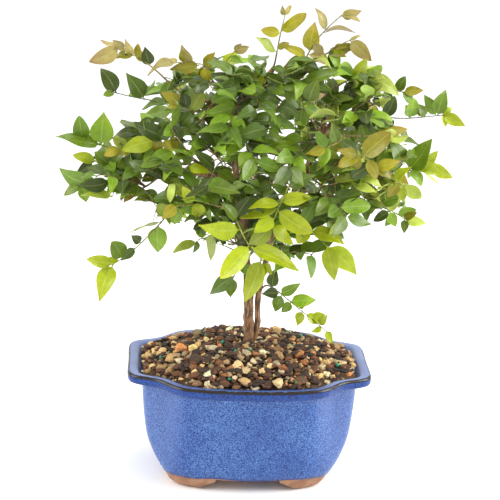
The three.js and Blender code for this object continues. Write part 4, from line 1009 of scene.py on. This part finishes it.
# Leaves: how a blade is cut, bent and coloured. Bends are shares of its length, twist is an angle.
leaf = {
    "ratio": 0.42,
    "baseRound": 0.52,
    "tipDrawn": (0.62, 1.2),
    "across": 4,
    "along": 11,
    "bow": (-0.04, 0.12),
    "droop": (-0.03, 0.2),
    "wave": (0.008, 0.04),
    "sway": (-0.06, 0.06),
    "twist": (-0.7, 0.7),
    "fullBendRoom": 22,
    "pastLimit": 0.15,
    "thickness": 0.00032,
    "axisSteps": 3,
    "pairLength": 24,
    "smallestSolid": 14,
    "petiole": 0.07,
    "stalkWidth": 0.07,
    "leastWidth": 0.03,
    "turns": [(0, 0), (14, 10), (-14, -12), (26, -22), (-26, 24), (44, 14), (-44, -16), (0, 40)],
    "settled": 0.002,
    "youngTones": ("gold", "bronze"),
    "youngBlush": (0.45, 1.15),
    "olderBlush": (0.1, 0.9),
}

# Tones: tint at the stalk, blush at the tip, strengths drawn between, and how much broader
tones = {
    "mature": ((82, 110, 28), (98, 118, 32), (0.6, 1.24), 1.16),
    "mid": ((112, 144, 30), (132, 154, 32), (0.7, 1.18), 1.16),
    "fresh": ((160, 176, 66), (186, 190, 80), (0.86, 1.1), 1.1),
    "lime": ((160, 176, 6), (190, 190, 24), (0.88, 1.04), 1.1),
    "gold": ((150, 146, 24), (150, 120, 32), (0.84, 1.12), 1.1),
    "bronze": ((170, 158, 92), (150, 104, 76), (0.84, 1.08), 1.16),
}


# A value between two limits, drawn by a seed
def drawn(limits, seed):
    return mixed(*limits, chance(seed))


def turnedLeaf(blade, turns):
    swing, lift = (math.radians(angle) for angle in turns)
    side = blade["normal"].cross(blade["along"])
    along = blade["along"].copy()
    along.rotate(Matrix.Rotation(lift, 3, side))
    along.rotate(Matrix.Rotation(swing, 3, blade["normal"]))
    normal = blade["normal"].copy()
    normal.rotate(Matrix.Rotation(lift, 3, side))
    normal = (normal - along * normal.dot(along)).normalized()
    return {**blade, "along": along, "normal": normal}


def shapedLeaf(base, along, face, roll, length, width, seed, tone):
    normal = (face - along * face.dot(along)).normalized()
    normal.rotate(Matrix.Rotation(roll, 3, along))
    fold = 0.1 + 0.28 * chance(seed + 0.21)
    return {"base": base, "along": along, "normal": normal, "length": length, "width": width,
            "fold": fold, "seed": seed, "tone": tone, "slack": 1.0}


# A point of the straight-stepped axis that leaves grow from
def stemAxis(points, start, place):
    steps = leaf["axisSteps"]
    walked = min(place, 0.97) * steps
    step = int(walked)
    near = curvePoint(points, start + (1 - start) * step / steps)
    far = curvePoint(points, start + (1 - start) * (step + 1) / steps)
    return near.lerp(far, walked - step)


# A leaf set after one in the photograph: its picture angle and the width seen, turned by chance
def handLeaf(shoot, number, seed):
    place, angle, length, seen, tone = shoot["leaves"][number]
    base = stemAxis(shoot["curve"], shoot["start"], place)
    slope = math.radians(angle)
    lean = (chance(seed) - 0.55) * 0.5
    along = Vector((math.cos(slope), math.sin(lean), math.sin(slope))).normalized()
    face = Vector(((chance(seed + 0.5) - 0.5) * 0.5, -0.85, 0.55))
    width = max(seen, length * leaf["ratio"])
    roll = math.acos(min(1, seen / width)) * (1 if chance(seed + 0.7) > 0.4 else -1)
    return shapedLeaf(base, along, face, roll * 0.9, length, width, seed, tone)


# Opposite pairs: places along the leafy part, sides and steps of the seed
def pairPlaces(pairs):
    return [((pair + 0.6) / (pairs - 0.4), hand, pair * 2 + (hand < 0))
            for pair in range(pairs) for hand in (1, -1)]


def pairLeaf(points, start, place, hand, size, seed, tone):
    base = stemAxis(points, start, place)
    stem = curveTangent(points, start + (1 - start) * place)
    up = Vector((0, -0.25, 1))
    up = (up - stem * stem.z).normalized()
    side = stem.cross(up) * hand
    along = stem * (0.45 + 0.5 * chance(seed + 0.1)) + side
    along.z += (chance(seed + 0.2) - 0.55) * 0.9
    along.y += (chance(seed + 0.4) - 0.5) * 0.5
    along.normalize()
    face = up + side * (chance(seed + 0.5) - 0.5) * 0.9
    face.y -= 0.5 * chance(seed + 0.6)
    length = size * (0.8 + 0.45 * chance(seed + 0.8))
    roll = (chance(seed + 0.9) - 0.5) * 0.8
    return shapedLeaf(base, along, face, roll, length, length * leaf["ratio"], seed, tone)


# Half width of a blade along it, 1 at its widest: a petiole, then an oval with a drawn-out tip
def bladeWidth(place, tip):
    if place <= leaf["petiole"]:
        return leaf["stalkWidth"]
    inner = (place - leaf["petiole"]) / (1 - leaf["petiole"])
    heel = leaf["baseRound"]
    widest = heel / (heel + tip)
    peak = widest ** heel * (1 - widest) ** tip
    return max(leaf["leastWidth"], inner ** heel * (1 - inner) ** tip / peak)


# The space that the solids take, front to back: blades bend less near it and stay inside
depthLimits = [corner.y * 1000 - rowShift.y for corner in cadBox]


def roomBefore(blade):
    tip = blade["base"].y + blade["along"].y * blade["length"]
    return min(depthLimits[1] - tip, tip - depthLimits[0])


def addLeaf(bm, blade):
    layer = bm.verts.layers.float_color["tint"]
    seed, length, tone = blade["seed"], blade["length"], blade["tone"]
    along, normal = blade["along"], blade["normal"]
    side = along.cross(normal)
    slack = length * blade["slack"] * clamped(roomBefore(blade) / leaf["fullBendRoom"])
    bow = drawn(leaf["bow"], seed + 0.33) * slack
    droop = drawn(leaf["droop"], seed + 0.37) * slack
    wave = drawn(leaf["wave"], seed + 0.43) * length
    sway = drawn(leaf["sway"], seed + 0.47) * length
    twist = drawn(leaf["twist"], seed + 0.67) * blade["slack"]
    tip = drawn(leaf["tipDrawn"], seed + 0.71)
    phase = chance(seed + 0.53) * math.tau
    tint, blush, strengths, broader = tones[tone]
    strength = drawn(strengths, seed + 0.57)
    inner, outer = colour(*tint, strength), colour(*blush, strength)
    blushed = drawn(leaf["youngBlush" if tone in leaf["youngTones"] else "olderBlush"], seed + 0.61)
    made = bmesh.ops.create_grid(bm, x_segments=leaf["across"], y_segments=leaf["along"], size=1,
                                 calc_uvs=True)
    for vert in made["verts"]:
        u, row = vert.co.x, (vert.co.y + 1) / 2
        v = mixed(row, (1 - math.cos(math.pi * row)) / 2, 0.35)
        across = u * bladeWidth(v, tip) * blade["width"] * broader / 2
        rise = math.sqrt(across ** 2 + 0.1) * blade["fold"] * 0.9
        rise += bow * math.sin(math.pi * v) - droop * v ** 3
        rise += wave * u * u * math.sin(v * 9 + phase + (1.7 if u > 0 else 0))
        rise += across * math.sin(twist * v)
        sideways = across * math.cos(twist * v) + sway * math.sin(math.pi * v)
        vert.co = blade["base"] + along * v * length + side * sideways + normal * rise
        vert.co.y = mixed(clamped(vert.co.y, *depthLimits), vert.co.y, leaf["pastLimit"])
        share = min(1, blushed * (0.25 * u * u + 0.75 * v ** 3))
        vert[layer] = [mixed(a, b, share) for a, b in zip(inner, outer)]
    for edge in {edge for vert in made["verts"] for edge in vert.link_edges}:
        edge.smooth = not edge.is_boundary


# The two sides of a blade: the paler, duller underside shows its veins more
leafSides = {
    "leafTop": {"roughness": 0.34, "veins": 0.26, "pale": 0, "gloss": 0.24, "specular": 0.32,
                "relief": 0.00025},
    "leafUnder": {"roughness": 0.55, "veins": 0.36, "pale": 0.28, "gloss": 0.46, "specular": 0.15,
                  "relief": 0.0003},
}


def makeLeafFinish(name):
    look = leafSides[name]
    material, tree, shader = newMaterial(name, look["roughness"])
    tint = attributeColour(tree, "tint")
    place = addNode(tree, "ShaderNodeUVMap", {"uv_map": "UVMap"})
    across, up, _ = addNode(tree, "ShaderNodeSeparateXYZ", None, Vector=place.outputs["UV"]).outputs
    half = calculate(tree, "ABSOLUTE", calculate(tree, "MULTIPLY_ADD", across, 2, -1))
    midrib = calculate(tree, "SUBTRACT", 1, rampMask(tree, half, 0.03, 0.11))
    climb = calculate(tree, "MULTIPLY_ADD", up, 13, calculate(tree, "MULTIPLY", half, -2.6))
    wave = calculate(tree, "ABSOLUTE", calculate(tree, "SUBTRACT", calculate(tree, "FRACT", climb), 0.5))
    veins = calculate(tree, "SUBTRACT", 1, rampMask(tree, wave, 0.04, 0.17))
    ribs = calculate(tree, "MAXIMUM", midrib, calculate(tree, "MULTIPLY", veins, 0.4))
    cloudy = patches(tree, 190, 0.3, 0.7, 3.0)
    fine = patches(tree, 1500, 0.3, 0.7, 2.0)
    deeper = mixColours(tree, 0.45, tint, colour(70, 104, 34), "MULTIPLY")
    body = mixColours(tree, calculate(tree, "MULTIPLY", cloudy, 0.5), tint, deeper)
    paler = mixColours(tree, 0.5, tint, colour(226, 226, 150))
    body = mixColours(tree, calculate(tree, "MULTIPLY", ribs, look["veins"]), body, paler)
    if look["pale"]:
        body = mixColours(tree, look["pale"], body, colour(176, 190, 130))
    feed(tree, shader.inputs["Base Color"], body)
    feed(tree, shader.inputs["Roughness"], calculate(tree, "MULTIPLY_ADD", fine, 0.12, look["gloss"]))
    shader.inputs["Specular IOR Level"].default_value = look["specular"]
    shader.inputs["Subsurface Weight"].default_value = 0.3
    shader.inputs["Subsurface Radius"].default_value = (1.0, 1.0, 0.25)
    shader.inputs["Subsurface Scale"].default_value = 0.0012
    relief = calculate(tree, "MULTIPLY_ADD", fine, 0.2, ribs)
    addBump(tree, shader, relief, 0.35, look["relief"])
    return material


leafFinishes = [makeLeafFinish(name) for name in leafSides]


def newLeafMesh():
    bm = bmesh.new()
    bm.loops.layers.uv.new("UVMap")
    bm.verts.layers.float_color.new("tint")
    return bm


# The turn that a leaf took to clear its neighbours is read from the solid spray's own corners
def settledLeaf(blade, corners):
    found = []
    for turns in leaf["turns"]:
        tried = turnedLeaf(blade, turns)
        tip = toMetres @ (tried["base"] + tried["along"] * blade["length"])
        found.append((corners.find(tip)[2], len(found), tried))
    return min(found)[2] if min(found)[0] < leaf["settled"] else blade


def cornersOf(node):
    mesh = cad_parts[node].data
    corners = kdtree.KDTree(len(mesh.vertices))
    for vert in mesh.vertices:
        corners.insert(vert.co, vert.index)
    corners.balance()
    return corners


def shootLeaves(index, shoot):
    corners = cornersOf(f"spray_{index + 1:02d}")
    blades = []
    for number, entry in enumerate(shoot.get("leaves", [])):
        blade = handLeaf(shoot, number, index * 40 + number + 1)
        small = entry[2] < leaf["smallestSolid"] and entry[4] != "bronze"
        blades.append(blade if small else settledLeaf(blade, corners))
    for place, hand, step in pairPlaces(shoot.get("pairs", 0)):
        seed = 9000 + index * 40 + step
        tone = "mature" if chance(seed + 0.3) > 0.5 else "mid"
        blade = pairLeaf(shoot["curve"], shoot["start"], place, hand, leaf["pairLength"], seed, tone)
        blades.append(settledLeaf(blade, corners))
    return blades


def joinMeshes(parts):
    whole = bmesh.new()
    for part in parts:
        mesh = bpy.data.meshes.new("part")
        part.to_mesh(mesh)
        part.free()
        whole.from_mesh(mesh)
        bpy.data.meshes.remove(mesh)
    return whole


def finishLeaves(name, sprays, replaced=()):
    parts = []
    for blades in sprays:
        bm = newLeafMesh()
        for blade in blades:
            addLeaf(bm, blade)
        parts.append(bm)
    whole = joinMeshes(parts)
    smoothFaces(whole)
    piece = finishPiece(name, whole, leafFinishes, replaced)
    thick = piece.modifiers.new("bladeThickness", "SOLIDIFY")
    thick.thickness, thick.offset, thick.material_offset = leaf["thickness"], -1, 1
    thick.material_offset_rim = 0
    return piece


sprayGroups = {
    "leavesUpperLeft": (1, 3), "leavesLeft": (4, 10), "leavesFrontLow": (11, 15), "leavesRight": (16, 23),
    "leavesUpperRight": (24, 28), "leavesTop": (29, 35), "leavesFront": (36, 43), "leavesBack": (44, 57),
}
for name, (first, last) in sprayGroups.items():
    members = range(first - 1, last)
    replaced = [f"spray_{index + 1:02d}" for index in members]
    finishLeaves(name, [shootLeaves(index, shoots[index]) for index in members], replaced)
print("leafy shoots made")

# Leaves inside the crown: short twigs with opposite pairs, kept inside the crown's outline
# and out of the gaps that show the light through it. Both are read off the picture,
# in pixels: the outline's corners, and the left, top, right and bottom of each gap
crown = {
    "outline": [(188, 70), (205, 60), (228, 62), (250, 62), (272, 66), (292, 58), (315, 55), (345, 60),
                (372, 66), (392, 84), (392, 104), (372, 114), (396, 128), (424, 142), (404, 164),
                (424, 180), (398, 196), (416, 208), (392, 226), (378, 206), (350, 206), (346, 240),
                (322, 244), (306, 236), (296, 262), (236, 268), (232, 244), (208, 250), (192, 238),
                (176, 226), (152, 222), (152, 202), (120, 200), (96, 204), (62, 192), (76, 176),
                (60, 168), (76, 150), (74, 120), (96, 114), (134, 118), (166, 116), (172, 104),
                (146, 100), (172, 96), (160, 78)],
    "gaps": [(193, 150, 220, 169), (239, 144, 250, 154), (255, 173, 264, 180), (140, 178, 168, 192),
             (304, 118, 318, 125), (323, 121, 341, 133), (320, 155, 333, 163), (281, 180, 297, 187),
             (318, 180, 342, 196), (362, 105, 372, 113), (268, 155, 282, 163), (181, 104, 192, 112),
             (284, 98, 292, 112)],
    "middle": (5, 17, 270),
    "halfSize": (165, 95, 120),
    "heart": (5, 5, 235),
    "flattening": 0.8,
    "outward": 0.8,
    "bend": 0.14,
    "cell": 9,
    "twigs": 195,
    "tries": 10,
    "pairCounts": (2, 3, 3, 4),
    "twigLength": (24, 50),
    "leafLength": 19,
    "lengthSpread": (0.75, 1.25),
    "slack": 1.5,
    # Paler leaves to the right: partly fresher leaves, partly painted light. Darker leaves in the middle:
    # painted shade
    "freshAndLitRight": 0.5,
    "paintedLightFrom": 15,
    "freshAndLitWithin": 80,
    "paintedShadeMiddle": 0.3,
    "paintedShadeAt": -5,
    "paintedShadeWithin": 75,
}


# A pixel's place in the tree's front view, in whole millimetres across and up
def frontView(pixelX, pixelY):
    half = camera["pixels"] / 2
    (shiftX, shiftZ), (scaleX, scaleZ) = camera["centring"], camera["pixelSize"]
    across = (pixelX - half + shiftX) * scaleX
    return round(across), round(camera["level"] - (pixelY - half - shiftZ) * scaleZ)


# The oval that a gap's sides span: its middle and half its size
def gapOval(left, top, right, bottom):
    scaleX, scaleZ = camera["pixelSize"]
    halfSize = round((right - left) / 2 * scaleX), round((bottom - top) / 2 * scaleZ)
    return frontView((left + right) / 2, (top + bottom) / 2) + halfSize


crownCorners = [frontView(*pixel) for pixel in crown["outline"]]
crownGaps = [gapOval(*sides) for sides in crown["gaps"]]


def inOutline(x, z):
    corners = crownCorners
    crossings = 0
    for (ax, az), (bx, bz) in zip(corners, corners[1:] + corners[:1]):
        if (az > z) != (bz > z) and x < ax + (bx - ax) * (z - az) / (bz - az):
            crossings += 1
    return crossings % 2 == 1


def fitsCrown(point):
    x, z = seenFrom(point)
    if any(((x - gx) / halfX) ** 2 + ((z - gz) / halfZ) ** 2 < 1 for gx, gz, halfX, halfZ in crownGaps):
        return False
    spans = zip(point, crown["middle"], crown["halfSize"])
    return inOutline(x, z) and sum(((value - middle) / half) ** 2 for value, middle, half in spans) < 1


# Stems that inner twigs grow from, with the part of each that may bear them
def makeCarriers():
    curves = [[planted(point) for point in limb["points"]] for limb in limbs]
    carriers = [(curve, 0.15, 1.0) for curve in curves[stems["mainLimbs"]:]]
    carriers += [(curve, 0.35, 1.0) for curve in curves[1:stems["mainLimbs"]]] * 3
    return carriers + [(shoot["curve"], 0.15, shoot["start"]) for shoot in shoots]


def twigFrom(rng, carriers):
    points, low, high = rng.choice(carriers)
    place = rng.uniform(low, high)
    root = curvePoint(points, place)
    heartX, heartY, heartZ = crown["heart"]
    out = Vector((root.x - heartX, root.y - heartY, (root.z - heartZ) * crown["flattening"]))
    out = out.normalized() if out.length > 1 else Vector((0, 0, 1))
    wander = Vector((rng.gauss(0, 1), rng.gauss(0, 1), rng.gauss(0.1, 0.7))).normalized()
    aim = (out * crown["outward"] + wander).normalized()
    length = rng.uniform(*crown["twigLength"])
    bend = Vector((rng.uniform(-1, 1), rng.uniform(-1, 1), rng.uniform(0, 1))) * length * crown["bend"]
    near, far = root + aim * length * 0.35 + bend * 0.6, root + aim * length * 0.7 + bend
    return [root, near, far, root + aim * length]


# The twig of several tries that grows where the fewest leaves are seen so far
def bestTwig(rng, carriers, covered):
    options = []
    for _ in range(crown["tries"]):
        points = twigFrom(rng, carriers)
        if fitsCrown(points[2]) and fitsCrown(points[3]):
            crowding = sum(covered.get(cellOf(point), 0) for point in points[1:])
            options.append((crowding, len(options), points))
    return min(options)[2] if options else None


# Inner leaves are paler to the right and darker in the middle, as in the photograph
# The darker middle is painted shade; the paler right is partly fresher leaves, partly painted light
def innerTone(seed, x):
    draw = chance(seed + 0.3) - crown["freshAndLitRight"] * clamped((x - crown["paintedLightFrom"]) / crown["freshAndLitWithin"])
    draw += crown["paintedShadeMiddle"] * max(0, 1 - abs(x - crown["paintedShadeAt"]) / crown["paintedShadeWithin"])
    return "mature" if draw > 0.52 else "mid" if draw > 0.1 else "fresh"


def pointsAlong(blade, shares):
    return [blade["base"] + blade["along"] * blade["length"] * share for share in shares]


def twigLeaves(rng, number, points):
    blades = []
    for place, hand, step in pairPlaces(rng.choice(crown["pairCounts"])):
        seed = 30000 + number * 20 + step
        size = crown["leafLength"] * rng.uniform(*crown["lengthSpread"])
        blade = pairLeaf(points, 0.25, place, hand, size, seed, innerTone(seed, points[2].x))
        blade["slack"] = crown["slack"]
        if all(fitsCrown(point) for point in pointsAlong(blade, (0.35, 0.7, 1))):
            blades.append(blade)
    return blades


def growInside():
    rng = random.Random(31)
    carriers = makeCarriers()
    covered = {}
    noteCover(covered, [blade for index, shoot in enumerate(shoots) for blade in shootLeaves(index, shoot)])
    grown = []
    for number in range(crown["twigs"]):
        points = bestTwig(rng, carriers, covered)
        blades = twigLeaves(rng, number, points) if points else []
        noteCover(covered, blades)
        if blades:
            grown.append((points, blades))
    return grown


def cellOf(point):
    x, z = seenFrom(point)
    return round(x / crown["cell"]), round(z / crown["cell"])


def noteCover(covered, blades):
    for blade in blades:
        for point in pointsAlong(blade, (0.3, 0.6, 0.9)):
            covered[cellOf(point)] = covered.get(cellOf(point), 0) + 1


innerShoots = growInside()
frontToBack = sorted(innerShoots, key=lambda entry: entry[0][2].y)
third = len(frontToBack) // 3
for name, group in (("innerLeavesFront", frontToBack[:third]),
                    ("innerLeavesMiddle", frontToBack[third:2 * third]),
                    ("innerLeavesBack", frontToBack[2 * third:])):
    finishLeaves(name, [blades for _, blades in group])
print("inner leaves made:", sum(len(blades) for _, blades in innerShoots))


# Leafy stem ends and inner twigs, brown at the wood and green at the tips
def makeGreenStems():
    bm, layer = newTintedMesh()
    for shoot in shoots:
        tip = colour(*tones[shoot["leaves"][0][4]][0], 0.95) if "leaves" in shoot else greenTint
        addStem(bm, layer, shootPart(shoot, shoot["start"], 1), stems["shootRadii"], stems["shootCuts"],
                stems["greenRoughness"], budTint, tip)
    smoothFaces(bm)
    finishPiece("shootStems", bm, [bark])
    bm, layer = newTintedMesh()
    for points, _ in innerShoots:
        addStem(bm, layer, points, stems["innerRadii"], stems["innerCuts"], stems["greenRoughness"],
                twigTint, greenTint)
    smoothFaces(bm)
    finishPiece("innerTwigs", bm, [bark])


makeGreenStems()
print("stems made")

# Studio: pale floor, white surround, large soft lights
studio = {
    "floorSize": 8.0,
    "floorTint": (0.96, 0.96, 0.96, 1),
    "surround": 1.0,
    "aim": (0, 0, 0.2),
    "lightSize": 1.0,
    "lights": {"keyLight": ((1.5, -0.25, 1.0), 33), "fillLight": ((-1.5, -0.3, 0.9), 20),
               "topLight": ((0.1, 0.1, 1.9), 9)},
}


def makeStudio():
    bm = bmesh.new()
    bmesh.ops.create_grid(bm, x_segments=1, y_segments=1, size=studio["floorSize"] / 2)
    mesh = bpy.data.meshes.new("paleFloor")
    bm.to_mesh(mesh)
    bm.free()
    material, _, shader = newMaterial("palePaper", 0.9)
    shader.inputs["Base Color"].default_value = studio["floorTint"]
    mesh.materials.append(material)
    addObject("paleFloor", mesh)
    world = bpy.data.worlds.new("whiteSurround")
    world.use_nodes = True
    world.node_tree.nodes["Background"].inputs[0].default_value = (1, 1, 1, 1)
    world.node_tree.nodes["Background"].inputs[1].default_value = studio["surround"]
    bpy.context.scene.world = world
    for name, (place, power) in studio["lights"].items():
        light = bpy.data.lights.new(name, "AREA")
        light.size, light.energy = studio["lightSize"], power
        lamp = addObject(name, light)
        lamp.location = place
        lamp.rotation_euler = (Vector(studio["aim"]) - Vector(place)).to_track_quat("-Z", "Y").to_euler()


def makeCamera():
    data = bpy.data.cameras.new("photoCamera")
    data.lens, data.sensor_width = camera["lens"], camera["sensor"]
    data.clip_start, data.clip_end = 0.05, 50
    across, upward, forward = cameraAxes()
    turn = Matrix((across, upward, -forward)).transposed()
    stand = addObject("photoCamera", data)
    stand.matrix_world = Matrix.Translation(toMetres @ camera["place"]) @ turn.to_4x4()
    bpy.context.scene.camera = stand


makeStudio()
makeCamera()
bpy.context.scene.view_settings.view_transform = "Standard"
bpy.context.view_layer.update()
print("scene ready")
